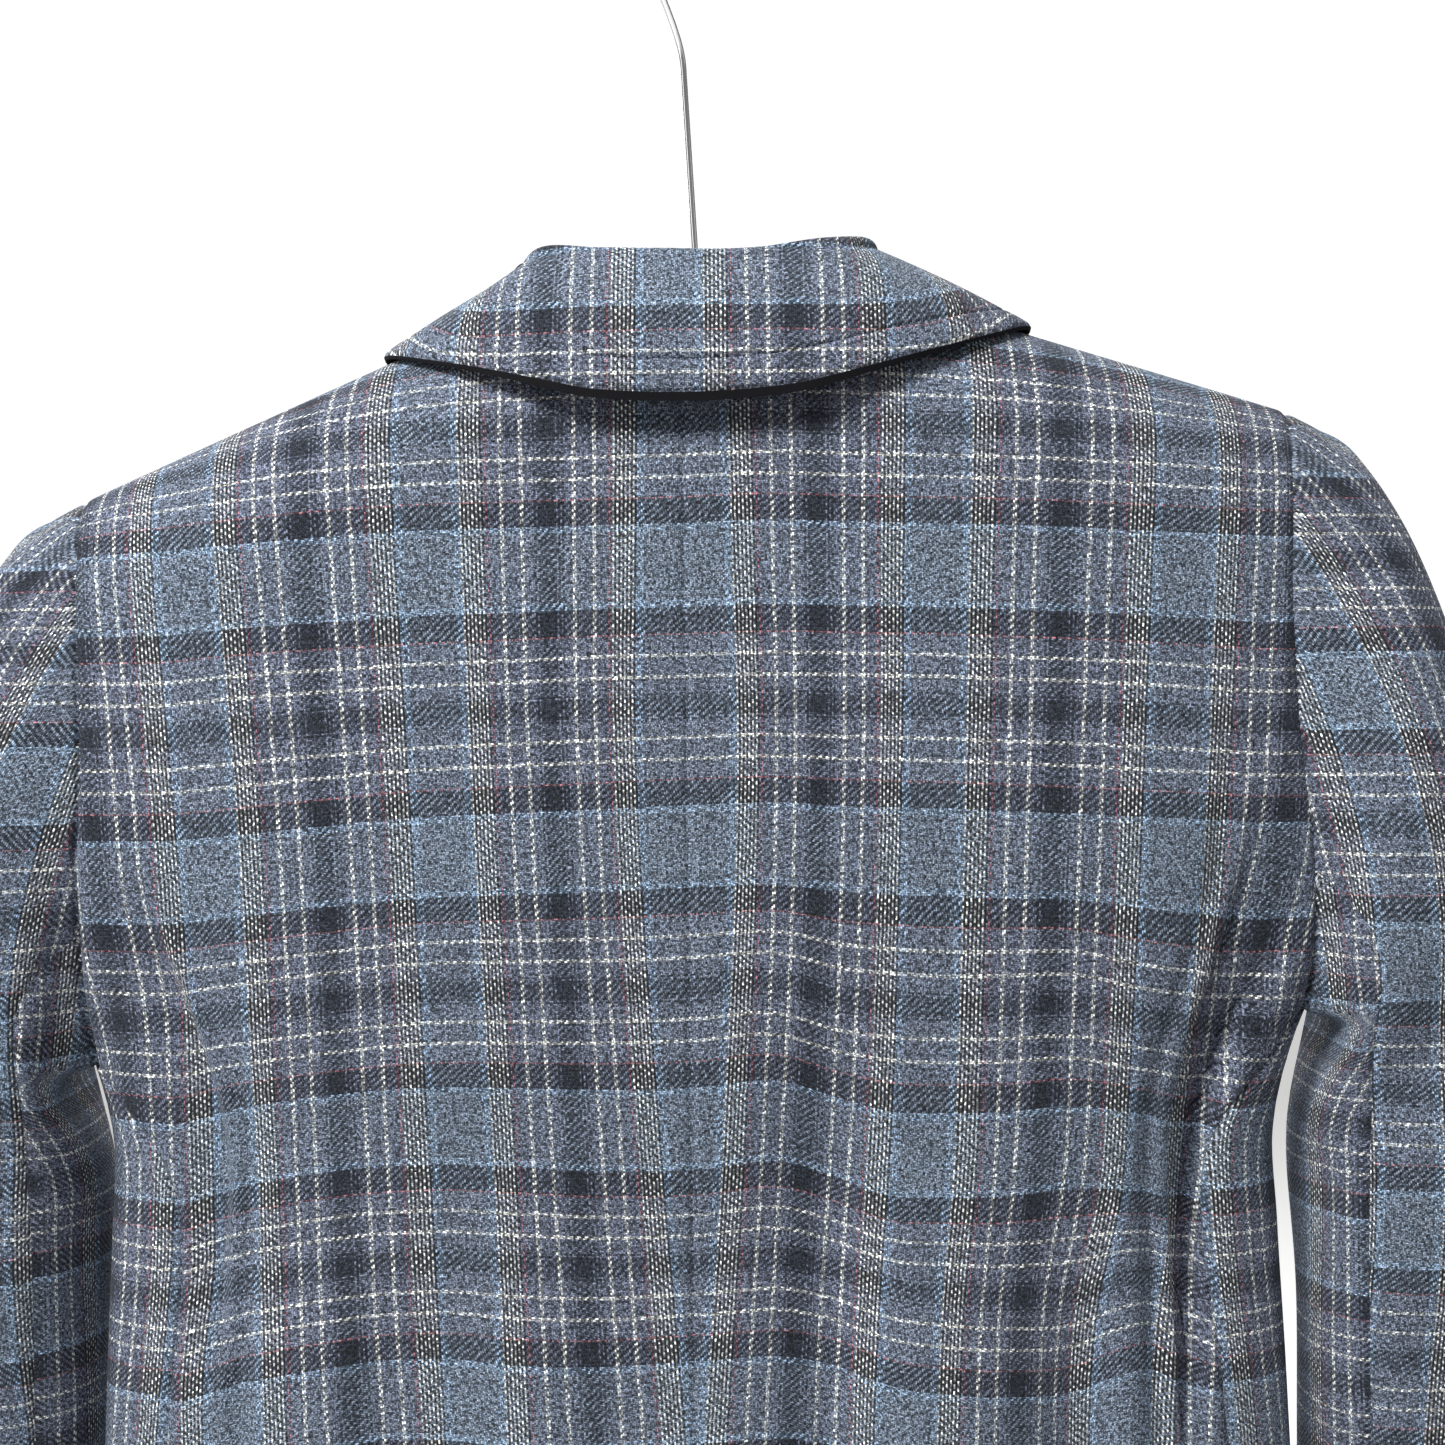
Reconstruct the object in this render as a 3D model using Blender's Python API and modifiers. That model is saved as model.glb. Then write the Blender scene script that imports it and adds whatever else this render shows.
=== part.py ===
"""A cropped blazer of checked wool cloth, hung on a plain hanger with a wire hook.

Metres, +Z up. The wearer would look along -Y, so the back of the blazer faces +Y, and the
wearer's left is +X. The origin is the inner top of the hook, where a rod or peg holds it.

The cloth is laid out on one surface that runs round the body and over the shoulders:
  turn   0 at the centre back, 1 at the side, 2 at the centre front
  down   the way from the shoulder ridge down the cloth, in metres
  drop   the height below the nape, in metres
"""
import math
from collections import namedtuple

import bmesh
import bpy
import numpy as np
from mathutils import Matrix, Vector

LEFT = 1
RIGHT = -1
SIDE_NAMES = {LEFT: "left", RIGHT: "right"}

# The cloth
CLOTH = 0.0020
SEAM = 0.0004
COLLAR_SEAM = 0.0006
SIDE_GAP = 0.0020

# The body, hung from the nape
NAPE_Z = -0.1745
CENTRE_X = -0.0028
HEM_DROP = 0.510
FLAT_SHARE = 0.8
ROUNDNESS = 3.0
APEX_DROP = -0.0415
SHOULDER_SLOPE = {LEFT: 0.434, RIGHT: 0.309}
SHOULDER_ROUND = 0.050
ROUND_PATH = SHOULDER_ROUND * math.pi / 2
SHOULDER_TURN = 0.845
NECK_HALF = 0.076
NECK_CURVE = 2.3
UNDERARM_DOWN = {LEFT: 0.230, RIGHT: 0.240}

Section = namedtuple("Section", "drop half_width back_depth front_depth")
SECTIONS = [
    Section(-0.060, 0.2430, 0.047, 0.046),
    Section(0.050, 0.2430, 0.050, 0.050),
    Section(0.140, 0.2430, 0.052, 0.054),
    Section(0.180, 0.2385, 0.052, 0.055),
    Section(0.215, 0.2260, 0.051, 0.054),
    Section(0.245, 0.2125, 0.050, 0.052),
    Section(0.275, 0.2050, 0.048, 0.049),
    Section(0.310, 0.2060, 0.046, 0.047),
    Section(0.360, 0.2085, 0.046, 0.046),
    Section(0.430, 0.2110, 0.048, 0.048),
    Section(0.520, 0.2140, 0.051, 0.050),
]

# Where the armhole is cut, from the shoulder point (way 0) to the underarm (way 1)
Armhole = namedtuple("Armhole", "way back_turn front_turn")
ARMHOLE = [
    Armhole(0.00, 0.845, 1.155),
    Armhole(0.22, 0.834, 1.172),
    Armhole(0.45, 0.828, 1.184),
    Armhole(0.65, 0.838, 1.170),
    Armhole(0.80, 0.862, 1.125),
    Armhole(0.92, 0.897, 1.040),
    Armhole(1.00, 0.925, 0.925),
]

# The side seam, which swings to the back at the waist
SideSeam = namedtuple("SideSeam", "below turn")
SIDE_SEAM = [
    SideSeam(0.000, 0.925),
    SideSeam(0.020, 0.885),
    SideSeam(0.045, 0.848),
    SideSeam(0.075, 0.832),
    SideSeam(0.120, 0.836),
    SideSeam(0.270, 0.862),
]

# The largest folds: a valley has a depth below 0
Fold = namedtuple("Fold", "side top low top_turn low_turn width depth")
FOLDS = [
    Fold(RIGHT, 0.150, 0.330, 0.800, 0.800, 0.030, -0.0085),
    Fold(LEFT, 0.170, 0.350, 0.795, 0.790, 0.034, -0.0075),
    Fold(RIGHT, 0.200, 0.480, 0.140, 0.175, 0.060, -0.0050),
    Fold(RIGHT, 0.240, 0.560, 0.370, 0.330, 0.110, 0.0080),
    Fold(RIGHT, 0.280, 0.560, 0.560, 0.540, 0.070, -0.0045),
    Fold(LEFT, 0.260, 0.560, 0.230, 0.180, 0.090, 0.0050),
    Fold(LEFT, 0.300, 0.560, 0.420, 0.400, 0.080, -0.0050),
    Fold(LEFT, 0.330, 0.580, 0.610, 0.600, 0.080, 0.0050),
    Fold(RIGHT, 0.170, 0.420, 1.210, 1.190, 0.045, -0.0070),
    Fold(LEFT, 0.180, 0.400, 1.215, 1.190, 0.045, -0.0065),
    Fold(RIGHT, 0.260, 0.560, 1.420, 1.400, 0.100, 0.0060),
    Fold(LEFT, 0.280, 0.560, 1.440, 1.400, 0.110, 0.0055),
    Fold(RIGHT, 0.300, 0.560, 1.600, 1.610, 0.070, -0.0035),
    Fold(LEFT, 0.300, 0.560, 1.620, 1.600, 0.080, -0.0035),
]

# The front closing: the wearer's right front lies on the left one
OVERLAP = 0.018
LAYER = {LEFT: -0.0016, RIGHT: 0.0016}
BREAK_DOWN = 0.372
GORGE_ROW = 4

# The lapel's tip, from the outer corner of the collar: out, and down
LAPEL_TIP = (0.018, 0.034)
LAPEL_BELLY = 0.007
LAPEL_LIFT = 0.0035
NOTCH_SHARE = 0.60
LOW_END = {LEFT: 0.80, RIGHT: 0.985}

# The collar, from the centre back (way 0) past the neck point (way 0.5) to the gorge (way 1)
Stand = namedtuple("Stand", "way height lean radius")
STANDS = {
    LEFT: [
        Stand(0.00, 0.0270, 0.0020, 0.0042),
        Stand(0.20, 0.0280, 0.0030, 0.0042),
        Stand(0.36, 0.0288, 0.0080, 0.0040),
        Stand(0.50, 0.0238, 0.0200, 0.0038),
        Stand(0.65, 0.0172, 0.0130, 0.0036),
        Stand(0.82, 0.0110, 0.0040, 0.0034),
        Stand(1.00, 0.0078, 0.0000, 0.0032),
    ],
    RIGHT: [
        Stand(0.00, 0.0270, 0.0020, 0.0042),
        Stand(0.20, 0.0260, 0.0020, 0.0042),
        Stand(0.36, 0.0250, 0.0032, 0.0042),
        Stand(0.50, 0.0212, 0.0100, 0.0040),
        Stand(0.65, 0.0160, 0.0075, 0.0036),
        Stand(0.82, 0.0102, 0.0025, 0.0034),
        Stand(1.00, 0.0078, 0.0000, 0.0032),
    ],
}
# The collar's outer edge: over the back it rises from the centre as a curve, and it meets the
# shoulder ridge at COLLAR_REACH; on the front it runs down to its end
COLLAR_DROP = 0.0240
COLLAR_RISE = {LEFT: 1.755, RIGHT: 1.821}
COLLAR_REACH = {LEFT: 0.1057, RIGHT: 0.1229}
COLLAR_END_OUT = 0.003
COLLAR_END_DOWN = 0.094
StandOff = namedtuple("StandOff", "way stand_off")
STAND_OFFS = [
    StandOff(0.00, 0.0085),
    StandOff(0.15, 0.0080),
    StandOff(0.30, 0.0065),
    StandOff(0.42, 0.0048),
    StandOff(0.50, 0.0036),
    StandOff(0.70, 0.0034),
    StandOff(1.00, 0.0034),
]
FALL_BELLY = 0.0030
SIDE_BELLY_SHARE = 0.25
STAND_BEND = 0.0040

# The sleeve rings, from the shoulder point (outer) and from the underarm (inner)
Ring = namedtuple("Ring", "outer_out outer_fall inner_out inner_fall half_depth forward")
SLEEVE_RINGS = [
    Ring(0.0230, 0.014, 0.0085, 0.004, 0.0430, 0.000),
    Ring(0.0400, 0.042, 0.0095, 0.009, 0.0465, 0.000),
    Ring(0.0560, 0.083, 0.0075, 0.016, 0.0485, 0.001),
    Ring(0.0690, 0.130, 0.0035, 0.026, 0.0485, 0.002),
    Ring(0.0780, 0.180, 0.0005, 0.040, 0.0470, 0.004),
    Ring(0.0830, 0.235, -0.001, 0.060, 0.0455, 0.006),
    Ring(0.0850, 0.310, 0.0008, 0.110, 0.0430, 0.010),
    Ring(0.0830, 0.400, 0.0045, 0.200, 0.0410, 0.018),
    Ring(0.0790, 0.490, 0.0080, 0.290, 0.0370, 0.026),
    Ring(0.0750, 0.575, 0.0120, 0.375, 0.0340, 0.032),
]
ARMHOLE_SHARE = 0.4
ARMHOLE_STEP = 0.0018
SLEEVE_ROUNDNESS = 2.3
RING_STEPS = 2
UNDER_SLEEVE_SHARE = 0.33
SleeveFold = namedtuple("SleeveFold", "ring share length width depth")
SLEEVE_FOLDS = [
    SleeveFold(5.2, 0.80, 0.9, 0.07, -0.0050),
    SleeveFold(6.4, 0.30, 0.8, 0.08, -0.0045),
    SleeveFold(8.0, 0.62, 0.6, 0.10, -0.0040),
    SleeveFold(8.5, 0.22, 0.6, 0.10, -0.0035),
]

# The counts of faces, and the angle from which an edge stays sharp
SHARP_ANGLE = math.radians(40)
NECK_COLUMNS = 6
BACK_COLUMNS = 15
FRONT_COLUMNS = 15
ARMHOLE_ROWS = 10
SKIRT_ROWS = 10
LAPEL_ROWS = 12
LAPEL_COLUMNS = 7
STAND_PLACES = (0.0, 0.25, 0.5, 0.75)
FOLD_ANGLES = (180, 135, 90, 45, 0)
FALL_PLACES = (0.18, 0.4, 0.6, 0.8, 1.0)
BUTTON_STEPS = 24
HANGER_STATIONS = 28
HANGER_SIDES = 12
STEM_PLACES = (0.35, 0.7, 0.9)
SWING_STEPS = 14
HOOK_STEPS = 26

# A short way along the cloth, over which its direction is read
PROBE = 0.004

# The buttons
BUTTON_RADIUS = 0.0115
BUTTON_THICK = 0.0035
BUTTON_DROPS = (0.335, 0.430)
BUTTON_SEAT = 0.0006

# The hanger and its hook
HANGER_TILT = math.radians(2.95)
HANGER_HALF = 0.200
HANGER_CLEAR = 0.0027
HANGER_CENTRE_DIP = 0.014
HANGER_DIP_REACH = 0.032
HANGER_TALL = 0.018
HANGER_HALF_THICK = 0.0065
HANGER_TIP_SLIMMING = 0.45
HANGER_TAPER = 0.15
WIRE_RADIUS = 0.0011
HOOK_RADIUS = 0.026
HOOK_FOOT_X = -0.0071
HOOK_LIFT = 0.0009
HOOK_SWING = 0.048
HOOK_TURN = math.radians(60)
HOOK_END = math.radians(205)


def clear_scene():
    """Remove what the scene holds, so that the script can be run again."""
    for thing in list(bpy.data.objects):
        bpy.data.objects.remove(thing, do_unlink=True)


def read(table, name, at):
    """The value of a table's column, on a smooth curve through its rows."""
    places = np.array([row[0] for row in table])
    values = np.array([getattr(row, name) for row in table])
    slopes = np.gradient(values, places)
    at = np.asarray(at, dtype=float)
    index = np.clip(np.searchsorted(places, at) - 1, 0, len(places) - 2)
    span = places[index + 1] - places[index]
    t = np.clip((at - places[index]) / span, 0.0, 1.0)
    start = (2 * t**3 - 3 * t**2 + 1) * values[index] + (t**3 - 2 * t**2 + t) * span * slopes[index]
    end = (3 * t**2 - 2 * t**3) * values[index + 1] + (t**3 - t**2) * span * slopes[index + 1]
    return start + end


def smooth_step(low, high, at):
    """A soft rise from 0 at low to 1 at high."""
    t = np.clip((at - low) / (high - low), 0.0, 1.0)
    return t * t * (3 - 2 * t)


def unit(vectors):
    """Vectors of length 1."""
    return vectors / np.linalg.norm(vectors, axis=-1, keepdims=True)


def along_section(turn):
    """Where a turn lies on a rounded section of half width 1 and half depth 1."""
    near = np.where(turn <= 1.0, turn, 2.0 - turn)
    a = np.where(near < FLAT_SHARE, near / FLAT_SHARE, 1.0)
    b = np.where(near < FLAT_SHARE, 1.0, (1.0 - near) / (1.0 - FLAT_SHARE))
    size = (np.abs(a) ** ROUNDNESS + np.abs(b) ** ROUNDNESS) ** (1 / ROUNDNESS)
    return a / size, np.where(turn <= 1.0, b, -b) / size


def turn_at(across, half_width):
    """The turn, from the nearer centre line, of a place at a distance across."""
    ratio = np.asarray(across) / half_width
    rest = (1 - np.abs(ratio) ** ROUNDNESS) ** (1 / ROUNDNESS)
    near_side = 1 - (1 - FLAT_SHARE) * rest / np.maximum(np.abs(ratio), 0.1)
    return np.where(np.abs(ratio) <= rest, FLAT_SHARE * ratio / rest, near_side)


def ridge_drop(across, side):
    """The height of the shoulder ridge at a distance from the centre."""
    return APEX_DROP + SHOULDER_SLOPE[side] * np.abs(across)


def fall_of(down):
    """How far a way down the cloth falls below the ridge, round the shoulder first."""
    angle = np.clip(np.abs(down) / ROUND_PATH, 0, 1) * math.pi / 2
    return SHOULDER_ROUND * (1 - np.cos(angle)) + np.maximum(np.abs(down) - ROUND_PATH, 0)


def down_of(fall):
    """The way down the cloth that falls so far below the ridge."""
    angle = np.arccos(1 - np.clip(fall / SHOULDER_ROUND, 0, 1))
    return angle / (math.pi / 2) * ROUND_PATH + np.maximum(fall - SHOULDER_ROUND, 0)


def relief(turn, drop, side):
    """How far the folds move the cloth out."""
    total = 0.0
    for fold in FOLDS:
        if fold.side != side:
            continue
        t = (drop - fold.top) / (fold.low - fold.top)
        middle = fold.top_turn + (fold.low_turn - fold.top_turn) * t
        strength = smooth_step(0.0, 0.35, t) * (1 - smooth_step(0.75, 1.15, t))
        total = total + fold.depth * strength * np.exp(-((turn - middle) / fold.width) ** 2)
    return total


def layer(across, turn, side):
    """The two fronts lie on each other near the centre front."""
    near = 1 - smooth_step(0.030, 0.070, across)
    return LAYER[side] * near * (turn > 1)


def body_point(turn, down, side):
    """A point of the cloth's outer face, as an array of x, y and z."""
    turn, down = np.broadcast_arrays(np.asarray(turn, float), np.asarray(down, float))
    wide, deep = along_section(turn)
    rounding = np.sin(np.clip(down / ROUND_PATH, -1, 1) * math.pi / 2)
    fall = fall_of(down)
    drop = np.full_like(fall, 0.1)
    for _ in range(6):
        across = read(SECTIONS, "half_width", drop) * wide
        drop = ridge_drop(across, side) + fall
    back = read(SECTIONS, "back_depth", drop)
    front = read(SECTIONS, "front_depth", drop)
    depth = np.where(deep >= 0, back, front)
    out_x = np.sign(wide) * np.abs(wide) ** (ROUNDNESS - 1) / read(SECTIONS, "half_width", drop)
    out_y = np.sign(deep) * np.abs(deep) ** (ROUNDNESS - 1) / depth
    length = np.hypot(out_x, out_y)
    moved = relief(turn, drop, side) + layer(across, turn, side)
    across = across + moved * out_x / length
    y = depth * deep * rounding + moved * out_y / length * np.abs(rounding)
    return np.stack([CENTRE_X + side * across, y, NAPE_Z - drop], axis=-1)


def body_normal(turn, down, side):
    """The outward direction of the cloth at a place on the body."""
    step = PROBE / 4
    across = body_point(turn + step, down, side) - body_point(turn - step, down, side)
    below = body_point(turn, down + step, side) - body_point(turn, down - step, side)
    return unit(np.cross(across, below)) * side


def edge_turn(down, side, column):
    """The turn of the side seam, or of the armhole above it."""
    below = down - UNDERARM_DOWN[side]
    armhole = read(ARMHOLE, column, np.clip(down / UNDERARM_DOWN[side], 0, 1))
    return np.where(below < 0, armhole, read(SIDE_SEAM, "turn", below))


def hem_down(turn, side):
    """The way down to the hem at a turn."""
    wide, _ = along_section(turn)
    across = SECTIONS[-1].half_width * np.abs(wide)
    return down_of(HEM_DROP - ridge_drop(across, side))


def neck_down(across, side):
    """The way down to the back neck curve, which ends on the shoulder ridge."""
    neck_point = ridge_drop(NECK_HALF, side)
    curve = neck_point * np.clip(across / NECK_HALF, 0, 1) ** NECK_CURVE
    return down_of(np.maximum(curve - ridge_drop(across, side), 0))


def directions(points, axis=0):
    """The way from point to point: at each one, the mean of the two ways that meet there."""
    ways = unit(np.diff(points, axis=axis))
    first = np.take(ways, [0], axis=axis)
    last = np.take(ways, [-1], axis=axis)
    return unit(np.concatenate([first, ways], axis=axis) + np.concatenate([ways, last], axis=axis))


def back_place(side):
    """The back panel: u from the centre seam to the side, v from the hem up."""
    half_width = SECTIONS[0].half_width

    def place(u, v):
        top_turn = u * SHOULDER_TURN
        across = half_width * along_section(top_turn)[0]
        top = neck_down(np.maximum(across, 0), side) + SEAM / 2
        low = hem_down(u * SIDE_SEAM[-1].turn, side)
        down = top + (low - top) * (1 - v)
        side_low = hem_down(SIDE_SEAM[-1].turn, side)
        outer_down = SEAM / 2 + (side_low - SEAM / 2) * (1 - v)
        turn = u * (edge_turn(outer_down, side, "back_turn") - SIDE_GAP)
        return turn + SEAM / 2 / half_width, down

    return place


def roll_across(down):
    """The roll line, from the neck point to the break, and the front edge below it."""
    share = np.clip(down / BREAK_DOWN, None, 1)
    return NECK_HALF - (NECK_HALF + OVERLAP) * share


def front_place(side):
    """The front panel: u from the side to the roll line or front edge, v from the hem up."""
    side_low = hem_down(SIDE_SEAM[-1].turn, side)
    edge_low_turn = 2 + turn_at(OVERLAP, SECTIONS[-1].half_width)
    edge_low = hem_down(edge_low_turn, side)

    def place(u, v):
        side_down = SEAM / 2 + (side_low - SEAM / 2) * (1 - v)
        edge_down = SEAM / 2 + (edge_low - SEAM / 2) * (1 - v)
        outer = edge_turn(side_down, side, "front_turn") + SIDE_GAP
        across = roll_across(edge_down)
        drop = ridge_drop(across, side) + fall_of(edge_down)
        inner = 2 - turn_at(across, read(SECTIONS, "half_width", drop))
        turn = outer + (inner - outer) * u
        low = hem_down(SIDE_SEAM[-1].turn + (edge_low_turn - SIDE_SEAM[-1].turn) * u, side)
        return turn, SEAM / 2 + (low - SEAM / 2) * (1 - v)

    return place


def row_heights(side):
    """The rows of a panel: one is at the underarm, and they close up at the shoulder."""
    side_low = hem_down(SIDE_SEAM[-1].turn, side)
    underarm = UNDERARM_DOWN[side]
    above = [underarm * (1 - math.cos(math.pi * j / ARMHOLE_ROWS)) / 2 for j in range(ARMHOLE_ROWS)]
    below = [underarm + (side_low - underarm) * j / SKIRT_ROWS for j in range(SKIRT_ROWS + 1)]
    ways = np.array(above + below)
    return np.clip(1 - (ways - SEAM / 2) / (side_low - SEAM / 2), 0, 1)[::-1]


def neck_share():
    """The share of the back's width, from the centre, that the neck curve takes."""
    return float(turn_at(NECK_HALF, SECTIONS[0].half_width) / SHOULDER_TURN)


def back_columns():
    """The columns of the back: one is at the neck point, and they close up at the side."""
    neck = neck_share()
    inner = [neck * math.sin(math.pi / 2 * j / NECK_COLUMNS) ** 0.9 for j in range(NECK_COLUMNS)]
    count = BACK_COLUMNS - NECK_COLUMNS
    outer = [neck + (1 - neck) * (1 - (1 - j / count) ** 1.3) for j in range(count + 1)]
    return np.array(inner + outer)


def wall_from(outer, inner, name, closed=False):
    """A closed wall between two grids of points, as a mesh."""
    rows, columns = outer.shape[:2]
    mesh_maker = bmesh.new()
    outside = [[mesh_maker.verts.new(outer[r, c]) for c in range(columns)] for r in range(rows)]
    inside = [[mesh_maker.verts.new(inner[r, c]) for c in range(columns)] for r in range(rows)]
    last = columns if closed else columns - 1
    for r in range(rows - 1):
        for c in range(last):
            d = (c + 1) % columns
            mesh_maker.faces.new((outside[r][c], outside[r][d], outside[r + 1][d], outside[r + 1][c]))
            mesh_maker.faces.new((inside[r][c], inside[r + 1][c], inside[r + 1][d], inside[r][d]))
    for c in range(last):
        d = (c + 1) % columns
        mesh_maker.faces.new((outside[0][c], inside[0][c], inside[0][d], outside[0][d]))
        mesh_maker.faces.new((outside[-1][d], inside[-1][d], inside[-1][c], outside[-1][c]))
    if not closed:
        for r in range(rows - 1):
            mesh_maker.faces.new((outside[r + 1][0], inside[r + 1][0], inside[r][0], outside[r][0]))
            mesh_maker.faces.new((outside[r][-1], inside[r][-1], inside[r + 1][-1], outside[r + 1][-1]))
    bmesh.ops.triangulate(mesh_maker, faces=mesh_maker.faces[:])
    if mesh_maker.calc_volume(signed=True) < 0:
        bmesh.ops.reverse_faces(mesh_maker, faces=mesh_maker.faces[:])
    mesh = bpy.data.meshes.new(name)
    mesh_maker.to_mesh(mesh)
    mesh_maker.free()
    mesh.shade_smooth()
    mesh.set_sharp_from_angle(angle=SHARP_ANGLE)
    return mesh


def material(name, colour, roughness, metallic=0.0):
    """A plain finish."""
    made = bpy.data.materials.new(name)
    made.use_nodes = True
    shader = made.node_tree.nodes["Principled BSDF"]
    shader.inputs["Base Color"].default_value = (*colour, 1.0)
    shader.inputs["Roughness"].default_value = roughness
    shader.inputs["Metallic"].default_value = metallic
    return made


def add_part(name, mesh, finish, collection):
    """Put a mesh into the blazer's collection as a named piece with its finish."""
    part = bpy.data.objects.new(name, mesh)
    mesh.materials.append(finish)
    collection.objects.link(part)
    return part


def panel_wall(place, us, vs, side, name):
    """A panel of cloth: the outer face is the surface, the inner one lies a cloth below."""
    turn, down = place(*np.meshgrid(us, vs))
    outer = body_point(turn, down, side)
    return wall_from(outer, outer - body_normal(turn, down, side) * CLOTH, name)


def build_back(side, finish, collection):
    """One half of the back, cut with a centre seam."""
    name = "back_" + SIDE_NAMES[side]
    mesh = panel_wall(back_place(side), back_columns(), row_heights(side), side, name)
    return add_part(name, mesh, finish, collection)


def build_front(side, finish, collection):
    """One front, from the side seam to the front edge and the roll line."""
    name = "front_" + SIDE_NAMES[side]
    us = np.linspace(0, 1, FRONT_COLUMNS + 1)
    mesh = panel_wall(front_place(side), us, row_heights(side), side, name)
    return add_part(name, mesh, finish, collection)


def collar_end(side):
    """The outer corner of the collar on the front, as across and down."""
    return np.array([COLLAR_REACH[side] + COLLAR_END_OUT, COLLAR_END_DOWN])


def gorge_down(side):
    """The way down the roll line to where the collar meets the lapel."""
    _, down = front_place(side)(np.array(1.0), row_heights(side)[-1 - GORGE_ROW])
    return float(down)


def lapel_place(p, q, side):
    """A place of the lapel on the front: p up the roll line, q out to its edge."""
    top = gorge_down(side) + COLLAR_SEAM
    low = BREAK_DOWN * LOW_END[side]
    roll_down = low + (top - low) * p
    roll = np.stack([roll_across(roll_down), roll_down], axis=-1)
    tip = collar_end(side) + np.array(LAPEL_TIP)
    end = np.array([roll_across(low) + 0.004, low + 0.002])
    belly = LAPEL_BELLY * np.sin(math.pi * p)
    edge = end + (tip - end) * p[..., None]
    edge[..., 0] += belly
    flat = roll + (edge - roll) * q[..., None]
    start = np.array([float(roll_across(top)), top])
    point = collar_end(side) + np.array([0.0, COLLAR_SEAM])
    corner = start + (point - start) * NOTCH_SHARE
    gorge = start + (corner - start) * np.clip(q / NOTCH_SHARE, 0, 1)[..., None]
    rest = np.clip((q - NOTCH_SHARE) / (1 - NOTCH_SHARE), 0, 1)[..., None]
    notched = np.where(q[..., None] < NOTCH_SHARE, gorge, corner + (tip - corner) * rest)
    straight = start + (tip - start) * q[..., None]
    return flat + (notched - straight) * (p ** 8)[..., None]


def front_turn(place, side):
    """The turn of a place on the front that is given as across and down."""
    across, down = place[..., 0], place[..., 1]
    drop = ridge_drop(across, side) + fall_of(down)
    return 2 - turn_at(across, read(SECTIONS, "half_width", drop))


def build_lapel(side, finish, collection):
    """The lapel, folded back at the roll line and lying on the front."""
    name = "lapel_" + SIDE_NAMES[side]
    shares = [j / LAPEL_COLUMNS for j in range(LAPEL_COLUMNS + 1)]
    shares = sorted(shares + [NOTCH_SHARE])
    q, p = np.meshgrid(shares, np.linspace(0, 1, LAPEL_ROWS + 1))
    place = lapel_place(p, q, side)
    turn, down = front_turn(place, side), place[..., 1]
    seat = body_point(turn, down, side)
    normal = body_normal(turn, down, side)
    lift = SEAM + LAPEL_LIFT * np.sin(math.pi * np.clip(q, 0, 1)) * smooth_step(0.0, 0.25, p)
    outer = seat + normal * (lift + CLOTH)[..., None]
    inner = seat + normal * lift[..., None]
    return add_part(name, wall_from(outer, inner, name), finish, collection)


def neck_seam(side):
    """The body's neck edge: its ways, outer points, outward directions and direction of travel."""
    back = back_columns()[:NECK_COLUMNS + 1]
    front = row_heights(side)[-1 - GORGE_ROW:-1][::-1]
    back_turn, back_down = back_place(side)(back, np.ones_like(back))
    front_turns, front_down = front_place(side)(np.ones_like(front), front)
    ways = np.concatenate([0.5 * back / neck_share(), 0.5 + 0.5 * (1 - front) / (1 - front[-1])])
    turn = np.concatenate([back_turn, front_turns])
    down = np.concatenate([back_down, front_down])
    points = body_point(turn, down, side)
    tangents = directions(points)
    tangents[0] = (side, 0.0, 0.0)
    return ways, points, body_normal(turn, down, side), tangents


def collar_edge(ways, side):
    """The turn and down of the body under the collar's outer edge."""
    reach = COLLAR_REACH[side]
    back_share = np.clip(ways / 0.5, 0, 1)
    front_share = np.clip((ways - 0.5) / 0.5, 0, 1)
    across = reach * back_share + COLLAR_END_OUT * front_share
    fall = COLLAR_DROP - COLLAR_RISE[side] * across**2 - ridge_drop(across, side)
    back_down = down_of(np.maximum(fall, 0))
    down = np.where(ways < 0.5, back_down, COLLAR_END_DOWN * front_share)
    drop = ridge_drop(across, side) + fall_of(down)
    turn = turn_at(across, read(SECTIONS, "half_width", drop))
    return np.where(ways < 0.5, turn, 2 - turn), down


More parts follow.
